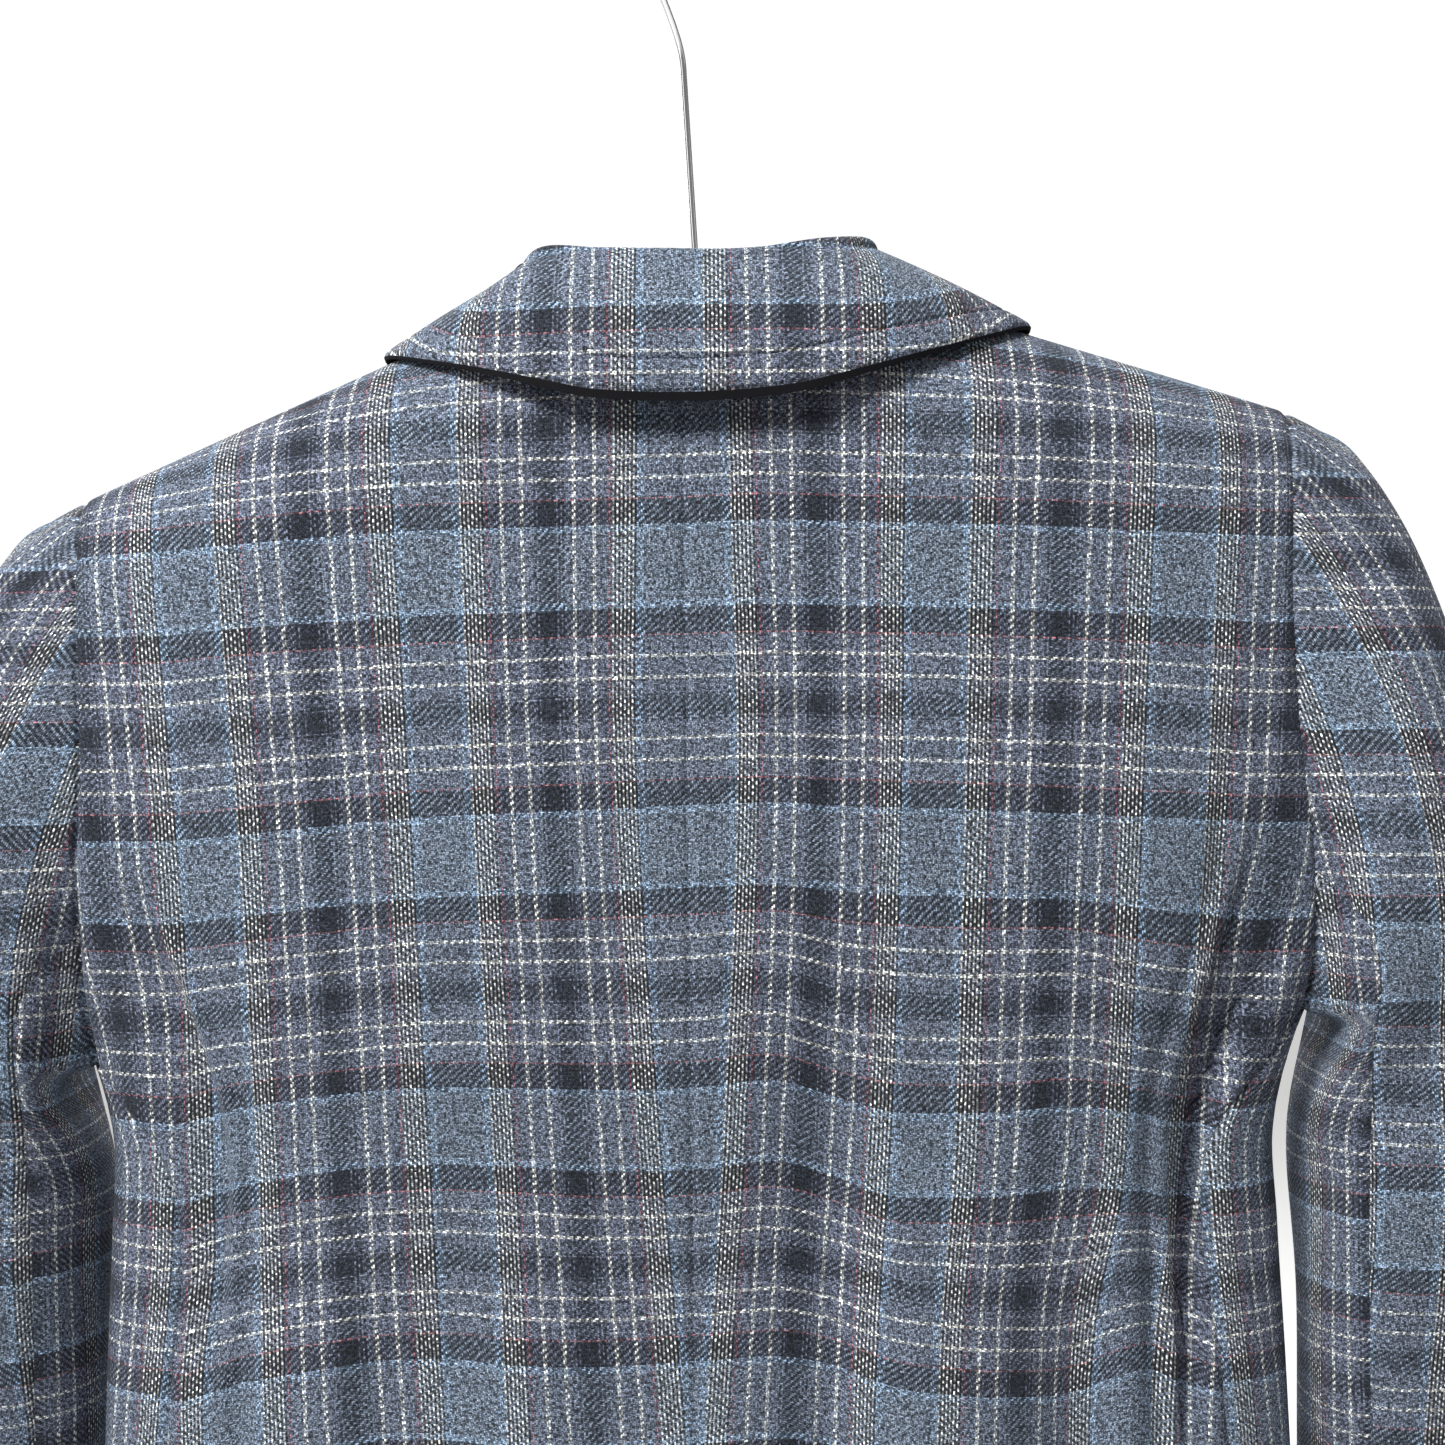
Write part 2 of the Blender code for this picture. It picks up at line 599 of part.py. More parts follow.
def collar_sections(side):
    """The collar's upper face: a row of points over the fold for each place round the neck."""
    ways, points, normals, tangents = neck_seam(side)
    inward = unit(np.cross(tangents, normals)) * side
    up = np.array([0.0, 0.0, 1.0])
    share = smooth_step(0.5, 0.8, ways)[:, None]
    crest = unit(up * (1 - share) + normals * share)
    crest = unit(crest - tangents * np.sum(crest * tangents, axis=1, keepdims=True))
    outward = unit(np.cross(crest, tangents)) * side
    height = read(STANDS[side], "height", ways)[:, None]
    lean = read(STANDS[side], "lean", ways)[:, None]
    base = points - normals * CLOTH + inward * COLLAR_SEAM
    middle = points - normals * CLOTH / 2
    fold = middle + crest * height - outward * lean
    turn, down = collar_edge(ways, side)
    stand_off = read(STAND_OFFS, "stand_off", ways)[:, None]
    edge = body_point(turn, down, side) + body_normal(turn, down, side) * stand_off
    rows = []
    radius = read(STANDS[side], "radius", ways)[:, None]
    inner_foot = fold - outward * radius - crest * radius
    outer_foot = fold + outward * radius - crest * radius
    bend = base + inward * STAND_BEND
    fullness = 1 - (1 - SIDE_BELLY_SHARE) * smooth_step(0.3, 0.5, ways)[:, None]
    for t in STAND_PLACES:
        rows.append(base * (1 - t) ** 2 + bend * 2 * t * (1 - t) + inner_foot * t**2)
    for angle in FOLD_ANGLES:
        turned = math.radians(angle)
        arm = outward * math.cos(turned) + crest * math.sin(turned)
        rows.append(fold + (arm - crest) * radius)
    for t in FALL_PLACES:
        belly = FALL_BELLY * math.sin(math.pi * t) * fullness * (crest + outward)
        rows.append(outer_foot + (edge - outer_foot) * t + belly)
    return np.array(rows), base + normals * CLOTH


def build_collar(finish, collection):
    """The collar: its stand and its fall are one folded wall right round the neck."""
    left, left_foot = collar_sections(LEFT)
    right, right_foot = collar_sections(RIGHT)
    upper = np.concatenate([right[:, :0:-1], left], axis=1)
    normals = unit(np.cross(directions(upper, 1), directions(upper, 0)))
    under = upper - normals * CLOTH
    under[0] = np.concatenate([right_foot[:0:-1], left_foot])
    return add_part("collar", wall_from(upper, under, "collar"), finish, collection)


def armhole_ring(side):
    """The body's armhole edge as a ring: outer points, inner points, moved into the hole."""
    rows = row_heights(side)[-1 - ARMHOLE_ROWS:][::-1]
    outer, inner = [], []
    for place, u, sign, order in (
        (back_place(side), 1.0, 1, rows),
        (front_place(side), 0.0, -1, rows[1:-1][::-1]),
    ):
        u = np.full_like(order, u)
        turn, down = place(u, order)
        point = body_point(turn, down, side)
        normal = body_normal(turn, down, side)
        beyond = body_point(*place(u + PROBE, order), side)
        before = body_point(*place(u - PROBE, order), side)
        above = body_point(*place(u, order + PROBE), side)
        below = body_point(*place(u, order - PROBE), side)
        out = unit(beyond - before) * sign
        way = unit(above - below)
        out = unit(out - way * np.sum(out * way, axis=-1, keepdims=True))
        outer.append(point + out * SEAM)
        inner.append(point - normal * CLOTH + out * SEAM)
    return np.concatenate(outer), np.concatenate(inner)


def sleeve_rings(side):
    """The sleeve's rings, the first one at the armhole."""
    start, start_inner = armhole_ring(side)
    count = len(start)
    shoulder = start[0]
    underarm = start[ARMHOLE_ROWS]
    rings = [start]
    angles = np.array([2 * math.pi * j / count for j in range(count)])
    body_side = read(SECTIONS, "half_width", NAPE_Z - underarm[2])
    low_share = ((1 - np.cos(angles)) / 2) ** 4
    for ring in SLEEVE_RINGS:
        outer = np.array([shoulder[0] + side * ring.outer_out, -ring.forward, shoulder[2] - ring.outer_fall])
        inner_x = CENTRE_X + side * (body_side + ring.inner_out)
        inner = np.array([inner_x, -ring.forward, underarm[2] - ring.inner_fall])
        centre = (outer + inner) / 2
        reach = (outer - inner) / 2
        power = 2 / SLEEVE_ROUNDNESS
        long_way = np.sign(np.cos(angles)) * np.abs(np.cos(angles)) ** power
        across = np.sign(np.sin(angles)) * np.abs(np.sin(angles)) ** power
        points = centre + reach * long_way[:, None]
        points[:, 1] += ring.half_depth * across
        points[:, 1] += underarm[1] * low_share * (1 - smooth_step(0.0, 0.04, ring.inner_fall))
        rings.append(points)
    leaving = start + (rings[1] - start) * ARMHOLE_SHARE + np.array([side * ARMHOLE_STEP, 0, 0])
    rings.insert(1, leaving)
    return np.array(rings), start_inner


def between(rings, at):
    """A ring between the given ones, on smooth curves through them."""
    index = int(min(max(math.floor(at), 0), len(rings) - 2))
    t = at - index
    before = rings[max(index - 1, 0)]
    start, end = rings[index], rings[index + 1]
    after = rings[min(index + 2, len(rings) - 1)]
    slope_start = (end - before) / 2
    slope_end = (after - start) / 2
    return (
        (2 * t**3 - 3 * t**2 + 1) * start
        + (t**3 - 2 * t**2 + t) * slope_start
        + (3 * t**2 - 2 * t**3) * end
        + (t**3 - t**2) * slope_end
    )


def ring_normals(grid, side):
    """The outward directions of a tube given by its rings."""
    around = np.roll(grid, -1, axis=1) - np.roll(grid, 1, axis=1)
    along = np.gradient(grid, axis=0)
    return unit(np.cross(along, around)) * side


def sleeve_relief(stations, shares):
    """How far the sleeve's folds move its cloth out."""
    total = np.zeros((len(stations), len(shares)))
    for fold in SLEEVE_FOLDS:
        near_ring = np.exp(-((stations - fold.ring) / fold.length) ** 2)
        away = np.abs((shares - fold.share + 0.5) % 1.0 - 0.5)
        total += fold.depth * near_ring[:, None] * np.exp(-(away / fold.width) ** 2)[None, :]
    return total


def build_sleeve(side, finish, collection):
    """A two-piece sleeve: the upper one over the arm, the under one beside the body."""
    rings, start_inner = sleeve_rings(side)
    last = len(rings) - 1
    stations = np.linspace(0, last, last * RING_STEPS + 1)
    grid = np.array([between(rings, at) for at in stations])
    count = grid.shape[1]
    shares = np.arange(count) / count
    normal = ring_normals(grid, side)
    grid = grid + normal * sleeve_relief(stations, shares)[..., None]
    normal = ring_normals(grid, side)
    inner = grid - normal * CLOTH
    inner[0] = start_inner
    half = round(count * UNDER_SLEEVE_SHARE / 2)
    middle = count // 2
    first, final = middle - half, middle + half
    under = list(range(first, final + 1))
    upper = [c % count for c in range(final, first + count + 1)]
    for label, columns in (("upper_sleeve_", upper), ("under_sleeve_", under)):
        outer_part = grid[:, columns].copy()
        inner_part = inner[:, columns].copy()
        for part in (outer_part, inner_part):
            first_way = unit(part[:, 1] - part[:, 0])
            final_way = unit(part[:, -2] - part[:, -1])
            part[:, 0] += first_way * SEAM / 2
            part[:, -1] += final_way * SEAM / 2
        name = label + SIDE_NAMES[side]
        add_part(name, wall_from(outer_part, inner_part, name), finish, collection)


def build_button(number, drop, finish, collection):
    """A round button with a raised rim, turned about its own axis."""
    down = np.array(down_of(drop - ridge_drop(0.0, RIGHT)))
    seat = body_point(np.array(2.0), down, RIGHT)
    profile = [
        (0.0, BUTTON_THICK * 0.60),
        (BUTTON_RADIUS * 0.62, BUTTON_THICK * 0.62),
        (BUTTON_RADIUS * 0.72, BUTTON_THICK * 0.98),
        (BUTTON_RADIUS * 0.90, BUTTON_THICK),
        (BUTTON_RADIUS, BUTTON_THICK * 0.72),
        (BUTTON_RADIUS, BUTTON_THICK * 0.35),
        (BUTTON_RADIUS * 0.85, 0.0),
        (0.0, 0.0),
    ]
    mesh = bpy.data.meshes.new("button_%d" % number)
    edges = [(j, j + 1) for j in range(len(profile) - 1)]
    mesh.from_pydata([(r, 0.0, h) for r, h in profile], edges, [])
    part = add_part("button_%d" % number, mesh, finish, collection)
    turned = part.modifiers.new("Turned", "SCREW")
    turned.steps = BUTTON_STEPS
    turned.render_steps = BUTTON_STEPS
    turned.use_merge_vertices = True
    turned.merge_threshold = 0.00005
    turned.use_smooth_shade = True
    place = Matrix.Translation(Vector(seat) + Vector((0, -BUTTON_SEAT, 0)))
    part.matrix_world = place @ Matrix.Rotation(math.radians(90), 4, "X")
    return part


def hanger_top(x, side):
    """The height of the hanger's upper edge, just under the cloth of the shoulders."""
    across = abs(x - CENTRE_X)
    dip = HANGER_CENTRE_DIP * math.exp(-(across / HANGER_DIP_REACH) ** 2)
    return NAPE_Z - float(ridge_drop(across, side)) - HANGER_CLEAR - dip


def build_hanger(finish, collection):
    """A plain hanger: one bar with two sloping arms."""
    grid = np.zeros((HANGER_STATIONS + 1, HANGER_SIDES, 3))
    for j in range(HANGER_STATIONS + 1):
        share = 2 * j / HANGER_STATIONS - 1
        x = CENTRE_X + HANGER_HALF * share
        side = LEFT if share >= 0 else RIGHT
        slim = 1 - HANGER_TIP_SLIMMING * abs(share) ** 6
        tall = HANGER_TALL * slim * (1 - HANGER_TAPER * abs(share))
        centre = hanger_top(x, side) - tall / 2
        for k in range(HANGER_SIDES):
            angle = 2 * math.pi * k / HANGER_SIDES
            y = HANGER_HALF_THICK * slim * math.cos(angle)
            grid[j, k] = (x, y, centre + tall / 2 * math.sin(angle))
    mesh_maker = bmesh.new()
    rings = [[mesh_maker.verts.new(point) for point in ring] for ring in grid]
    for first, second in zip(rings, rings[1:]):
        for k in range(HANGER_SIDES):
            following = (k + 1) % HANGER_SIDES
            mesh_maker.faces.new((first[k], first[following], second[following], second[k]))
    mesh_maker.faces.new(rings[0])
    mesh_maker.faces.new(rings[-1])
    bmesh.ops.recalc_face_normals(mesh_maker, faces=mesh_maker.faces[:])
    mesh = bpy.data.meshes.new("hanger_arms")
    mesh_maker.to_mesh(mesh)
    mesh_maker.free()
    mesh.shade_smooth()
    return add_part("hanger_arms", mesh, finish, collection)


def hook_points():
    """The middle of the hook's wire, from the foot of its stem to its free end."""
    centre_height = -HOOK_RADIUS + WIRE_RADIUS
    swing_foot = centre_height - HOOK_SWING
    foot = hanger_top(HOOK_FOOT_X, RIGHT) + HOOK_LIFT
    points = [(0.0, foot)]
    points += [(0.0, foot + (swing_foot - foot) * t) for t in STEM_PLACES]
    for j in range(SWING_STEPS):
        t = j / SWING_STEPS
        points.append((HOOK_RADIUS * t * t * (3 - 2 * t), swing_foot + HOOK_SWING * t))
    for j in range(HOOK_STEPS + 1):
        angle = HOOK_END * j / HOOK_STEPS
        points.append((HOOK_RADIUS * math.cos(angle), centre_height + HOOK_RADIUS * math.sin(angle)))
    turned = Matrix.Rotation(HOOK_TURN, 4, "Z")
    tilted = Matrix.Rotation(HANGER_TILT, 4, "Y")
    return [tilted @ turned @ Vector((across, 0.0, height)) for across, height in points]


def build_hook(finish, collection):
    """The wire hook, which leans with the hanger."""
    curve = bpy.data.curves.new("hanger_hook", "CURVE")
    curve.dimensions = "3D"
    curve.bevel_depth = WIRE_RADIUS
    curve.bevel_resolution = 2
    curve.use_fill_caps = True
    places = hook_points()
    spline = curve.splines.new("POLY")
    spline.points.add(len(places) - 1)
    for point, place in zip(spline.points, places):
        point.co = (*place, 1.0)
    part = bpy.data.objects.new("hanger_hook", curve)
    curve.materials.append(finish)
    collection.objects.link(part)
    return part


def main():
    """Build every piece of the blazer and its hanger."""
    clear_scene()
    collection = bpy.data.collections.new("cropped_blazer")
    bpy.context.scene.collection.children.link(collection)
    cloth = material("wool cloth", (0.13, 0.155, 0.20), 0.92)
    hanger = material("dark hanger", (0.03, 0.03, 0.032), 0.45)
    wire = material("bright wire", (0.75, 0.75, 0.76), 0.18, 1.0)
    horn = material("dark horn", (0.035, 0.038, 0.05), 0.32)
    for side in (LEFT, RIGHT):
        build_back(side, cloth, collection)
        build_front(side, cloth, collection)
        build_lapel(side, cloth, collection)
        build_sleeve(side, cloth, collection)
    build_collar(cloth, collection)
    for number, drop in enumerate(BUTTON_DROPS, start=1):
        build_button(number, drop, horn, collection)
    build_hanger(hanger, collection)
    build_hook(wire, collection)


main()
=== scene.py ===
"""A cropped blazer of checked wool cloth on a plain hanger, dressed for its picture.

Metres, +Z up. The back of the blazer faces +Y, and the wearer's left is +X. The origin is the
inner top of the hook. The cloth is laid out on one surface round the body and over the shoulders:
  turn   0 at the centre back, 1 at the side, 2 at the centre front
  down   the way from the shoulder ridge down the cloth, in metres
  drop   the height below the nape, in metres
Each piece of cloth has a UV map in metres of cloth, from which its weave and its check are made.
"""
import math
from collections import namedtuple

import bpy
import numpy as np
from mathutils import Matrix, Vector


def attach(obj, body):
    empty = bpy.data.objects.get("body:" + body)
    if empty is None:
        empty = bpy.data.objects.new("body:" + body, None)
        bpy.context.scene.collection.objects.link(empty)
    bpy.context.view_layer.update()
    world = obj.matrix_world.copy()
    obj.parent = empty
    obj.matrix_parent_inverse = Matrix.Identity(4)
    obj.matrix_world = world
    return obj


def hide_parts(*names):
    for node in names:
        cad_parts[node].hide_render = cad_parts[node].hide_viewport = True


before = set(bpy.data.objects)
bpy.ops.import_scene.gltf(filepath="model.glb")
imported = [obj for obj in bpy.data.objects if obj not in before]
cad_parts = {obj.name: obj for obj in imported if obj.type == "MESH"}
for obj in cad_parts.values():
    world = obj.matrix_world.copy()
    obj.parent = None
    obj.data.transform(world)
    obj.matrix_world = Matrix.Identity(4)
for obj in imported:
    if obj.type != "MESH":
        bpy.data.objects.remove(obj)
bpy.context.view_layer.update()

bl_info = {
    "name": "Checked Blazer on a Hanger",
    "version": (1, 0, 0),
    "blender": (4, 5, 0),
    "location": "View3D > Sidebar > Blazer",
    "description": "Dresses a cropped blazer of checked wool cloth on its hanger",
    "category": "Object",
}

LEFT = 1
RIGHT = -1
SIDE_NAMES = {LEFT: "left", RIGHT: "right"}

# The cloth
CLOTH = 0.0020
SEAM = -0.0003
COLLAR_SEAM = 0.0001
SIDE_GAP = -0.0006

# The body, hung from the nape
NAPE_Z = -0.1745
CENTRE_X = -0.0028
HEM_DROP = 0.510
FLAT_SHARE = 0.8
ROUNDNESS = 3.0
APEX_DROP = -0.0415
SHOULDER_SLOPE = {LEFT: 0.434, RIGHT: 0.309}
SHOULDER_ROUND = 0.050
ROUND_PATH = SHOULDER_ROUND * math.pi / 2
SHOULDER_TURN = 0.845
NECK_HALF = 0.076
NECK_CURVE = 2.3
UNDERARM_DOWN = {LEFT: 0.230, RIGHT: 0.240}

Section = namedtuple("Section", "drop half_width back_depth front_depth")
SECTIONS = [
    Section(-0.060, 0.2430, 0.047, 0.046),
    Section(0.050, 0.2430, 0.050, 0.050),
    Section(0.140, 0.2430, 0.052, 0.054),
    Section(0.180, 0.2385, 0.052, 0.055),
    Section(0.215, 0.2260, 0.051, 0.054),
    Section(0.245, 0.2125, 0.050, 0.052),
    Section(0.275, 0.2050, 0.048, 0.049),
    Section(0.310, 0.2060, 0.046, 0.047),
    Section(0.360, 0.2085, 0.046, 0.046),
    Section(0.430, 0.2110, 0.048, 0.048),
    Section(0.520, 0.2140, 0.051, 0.050),
]

# Where the armhole is cut, from the shoulder point (way 0) to the underarm (way 1)
Armhole = namedtuple("Armhole", "way back_turn front_turn")
ARMHOLE = [
    Armhole(0.00, 0.845, 1.155),
    Armhole(0.22, 0.834, 1.172),
    Armhole(0.45, 0.828, 1.184),
    Armhole(0.65, 0.838, 1.170),
    Armhole(0.80, 0.862, 1.125),
    Armhole(0.92, 0.897, 1.040),
    Armhole(1.00, 0.925, 0.925),
]

# The side seam, which swings to the back at the waist
SideSeam = namedtuple("SideSeam", "below turn")
SIDE_SEAM = [
    SideSeam(0.000, 0.925),
    SideSeam(0.020, 0.885),
    SideSeam(0.045, 0.848),
    SideSeam(0.075, 0.832),
    SideSeam(0.120, 0.836),
    SideSeam(0.270, 0.862),
]

# The largest folds: a valley has a depth below 0
Fold = namedtuple("Fold", "side top low top_turn low_turn width depth")
Fade = namedtuple("Fade", "risen falls gone")
FOLD_FADE = Fade(0.35, 0.75, 1.15)
FOLDS = [
    Fold(RIGHT, 0.150, 0.330, 0.800, 0.800, 0.030, -0.0085),
    Fold(LEFT, 0.170, 0.350, 0.795, 0.790, 0.034, -0.0075),
    Fold(RIGHT, 0.200, 0.480, 0.140, 0.175, 0.060, -0.0050),
    Fold(RIGHT, 0.240, 0.560, 0.370, 0.330, 0.110, 0.0080),
    Fold(RIGHT, 0.280, 0.560, 0.560, 0.540, 0.070, -0.0045),
    Fold(LEFT, 0.260, 0.560, 0.230, 0.180, 0.090, 0.0050),
    Fold(LEFT, 0.300, 0.560, 0.420, 0.400, 0.080, -0.0050),
    Fold(LEFT, 0.330, 0.580, 0.610, 0.600, 0.080, 0.0050),
    Fold(RIGHT, 0.170, 0.420, 1.210, 1.190, 0.045, -0.0070),
    Fold(LEFT, 0.180, 0.400, 1.215, 1.190, 0.045, -0.0065),
    Fold(RIGHT, 0.260, 0.560, 1.420, 1.400, 0.100, 0.0060),
    Fold(LEFT, 0.280, 0.560, 1.440, 1.400, 0.110, 0.0055),
    Fold(RIGHT, 0.300, 0.560, 1.600, 1.610, 0.070, -0.0035),
    Fold(LEFT, 0.300, 0.560, 1.620, 1.600, 0.080, -0.0035),
]

# The front closing: the wearer's right front lies on the left one
OVERLAP = 0.018
LAYER = {LEFT: -0.0016, RIGHT: 0.0016}
BREAK_DOWN = 0.372
GORGE_ROW = 4

# The lapel's tip, from the outer corner of the collar: out, and down
LAPEL_TIP = (0.018, 0.034)
LAPEL_BELLY = 0.007
LAPEL_LIFT = 0.0035
NOTCH_SHARE = 0.60
LOW_END = {LEFT: 0.80, RIGHT: 0.985}

# The collar, from the centre back (way 0) past the neck point (way 0.5) to the gorge (way 1)
Stand = namedtuple("Stand", "way height lean radius")
STANDS = {
    LEFT: [
        Stand(0.00, 0.0270, 0.0020, 0.0042),
        Stand(0.20, 0.0280, 0.0030, 0.0042),
        Stand(0.36, 0.0288, 0.0080, 0.0040),
        Stand(0.50, 0.0238, 0.0200, 0.0038),
        Stand(0.65, 0.0172, 0.0130, 0.0036),
        Stand(0.82, 0.0110, 0.0040, 0.0034),
        Stand(1.00, 0.0078, 0.0000, 0.0032),
    ],
    RIGHT: [
        Stand(0.00, 0.0270, 0.0020, 0.0042),
        Stand(0.20, 0.0260, 0.0020, 0.0042),
        Stand(0.36, 0.0250, 0.0032, 0.0042),
        Stand(0.50, 0.0212, 0.0100, 0.0040),
        Stand(0.65, 0.0160, 0.0075, 0.0036),
        Stand(0.82, 0.0102, 0.0025, 0.0034),
        Stand(1.00, 0.0078, 0.0000, 0.0032),
    ],
}
# The collar's outer edge: over the back it rises from the centre as a curve, and it meets the
# shoulder ridge at COLLAR_REACH; on the front it runs down to its end
COLLAR_DROP = 0.0240
COLLAR_RISE = {LEFT: 1.755, RIGHT: 1.821}
COLLAR_REACH = {LEFT: 0.1057, RIGHT: 0.1229}
COLLAR_END_OUT = 0.003
COLLAR_END_DOWN = 0.094
StandOff = namedtuple("StandOff", "way stand_off")
STAND_OFFS = [
    StandOff(0.00, 0.0085),
    StandOff(0.15, 0.0080),
    StandOff(0.30, 0.0065),
    StandOff(0.42, 0.0048),
    StandOff(0.50, 0.0036),
    StandOff(0.70, 0.0034),
    StandOff(1.00, 0.0034),
]
FALL_BELLY = 0.0030
SIDE_BELLY_SHARE = 0.25
STAND_BEND = 0.0040

# The sleeve rings, from the shoulder point (outer) and from the underarm (inner)
Ring = namedtuple("Ring", "outer_out outer_fall inner_out inner_fall half_depth forward")
SLEEVE_RINGS = [
    Ring(0.0230, 0.014, 0.0085, 0.004, 0.0430, 0.000),
    Ring(0.0400, 0.042, 0.0095, 0.009, 0.0465, 0.000),
    Ring(0.0560, 0.083, 0.0075, 0.016, 0.0485, 0.001),
    Ring(0.0690, 0.130, 0.0035, 0.026, 0.0485, 0.002),
    Ring(0.0780, 0.180, 0.0005, 0.040, 0.0470, 0.004),
    Ring(0.0830, 0.235, -0.001, 0.060, 0.0455, 0.006),
    Ring(0.0850, 0.310, 0.0008, 0.110, 0.0430, 0.010),
    Ring(0.0830, 0.400, 0.0045, 0.200, 0.0410, 0.018),
    Ring(0.0790, 0.490, 0.0080, 0.290, 0.0370, 0.026),
    Ring(0.0750, 0.575, 0.0120, 0.375, 0.0340, 0.032),
]
ARMHOLE_SHARE = 0.4
ARMHOLE_STEP = 0.0018
SLEEVE_ROUNDNESS = 2.3
UNDER_SLEEVE_SHARE = 0.33
SleeveFold = namedtuple("SleeveFold", "ring share length width depth")
SLEEVE_FOLDS = [
    SleeveFold(5.2, 0.80, 0.9, 0.07, -0.0050),
    SleeveFold(6.4, 0.30, 0.8, 0.08, -0.0045),
    SleeveFold(8.0, 0.62, 0.6, 0.10, -0.0040),
    SleeveFold(8.5, 0.22, 0.6, 0.10, -0.0035),
]

ARMHOLE_ROWS = 10
STEM_PLACES = (0.35, 0.7, 0.9)
SWING_STEPS = 14
HOOK_STEPS = 26
PROBE = 0.004
LAPEL_GAP = 0.0004

# The buttons
BUTTON_RADIUS = 0.0115
BUTTON_THICK = 0.0035
BUTTON_DROPS = (0.335, 0.430)
BUTTON_SEAT = 0.0006
BUTTON_RINGS = 34
BUTTON_SPOKES = 96
BUTTON_MIDDLE = 0.60
BUTTON_PROFILE = [
    (0.0, BUTTON_MIDDLE),
    (0.60, 0.62),
    (0.70, 0.90),
    (0.78, 0.99),
    (0.88, 1.0),
    (0.96, 0.90),
    (1.0, 0.66),
]
BUTTON_UNDERSIDE = ((1.0, 0.30), (0.86, 0.0))
HOLE_OUT = 0.0021
HOLE_RADIUS = 0.00095
HOLE_DEEP = 0.0014
THREAD_RADIUS = 0.00020
THREAD_APART = 0.00022
THREAD_SUNK = 0.0010
THREAD_RISE = 0.0014
THREAD_LAYER = 0.0003
THREAD_STEPS = 12

# The buttonholes: half their width, how far one reaches past its button's middle, and how far the
# stitches stand on the cloth
BUTTONHOLE_HALF = 0.0011
BUTTONHOLE_INNER = 0.004
STITCH_LIFT = 0.0001
FRONT_HALF_WIDTH = 0.2085

# The hanger and its hook
HANGER_TILT = math.radians(2.95)
HANGER_CLEAR = 0.0027
HANGER_CENTRE_DIP = 0.014
HANGER_DIP_REACH = 0.032
WIRE_RADIUS = 0.0011
WIRE_STEPS = 4
WIRE_SIDES = 20
HOOK_RADIUS = 0.026
HOOK_FOOT_X = -0.0071
HOOK_LIFT = 0.0009
HOOK_SWING = 0.048
HOOK_TURN = math.radians(60)
HOOK_END = math.radians(205)

# The counts of faces across and down the pieces
BACK_CELLS = (64, 150)
FRONT_CELLS = (70, 150)
LAPEL_CELLS = (34, 72)
ARMHOLE_CELLS = 40
SLEEVE_CELLS = 150
SLEEVE_SLICES = 500
NECK_CELLS = 44
GORGE_CELLS = 34
EDGE_PLACES = (0.0004, 0.0009, 0.0015, 0.0023, 0.0034)

BackChart = namedtuple("BackChart", "drop seam first second")
BACK_CHART = {
    LEFT: [
        BackChart(0.03, -4.0, 87.0, 174.0),
        BackChart(0.08, -5.6, 85.0, 168.7),
        BackChart(0.13, -7.3, 82.8, 164.2),
        BackChart(0.16, -6.9, 81.5, 162.0),
        BackChart(0.21, -4.5, 79.5, 160.0),
        BackChart(0.25, -1.6, 78.0, 159.5),
        BackChart(0.29, 1.2, 76.5, 159.0),
        BackChart(0.36, 6.8, 74.5, 158.2),
        BackChart(0.40, 9.5, 73.5, 158.0),
    ],
    RIGHT: [
        BackChart(0.03, -4.0, 85.5, 172.0),
        BackChart(0.08, -5.6, 83.7, 168.5),
        BackChart(0.13, -7.3, 82.3, 165.5),
        BackChart(0.16, -6.9, 81.3, 163.8),
        BackChart(0.21, -4.5, 79.6, 161.3),
        BackChart(0.25, -1.6, 78.3, 159.3),
        BackChart(0.29, 1.2, 76.8, 157.0),
        BackChart(0.33, 4.4, 74.1, 150.4),
        BackChart(0.365, 7.3, 72.2, 149.2),
        BackChart(0.40, 9.5, 71.0, 148.5),
    ],
}
WARP_REPEAT = 0.08167
WEFT_REPEAT = 0.09333
WARP_THREADS = 120.0
WEFT_THREADS = 156.0
BOX_DROP = 0.0805

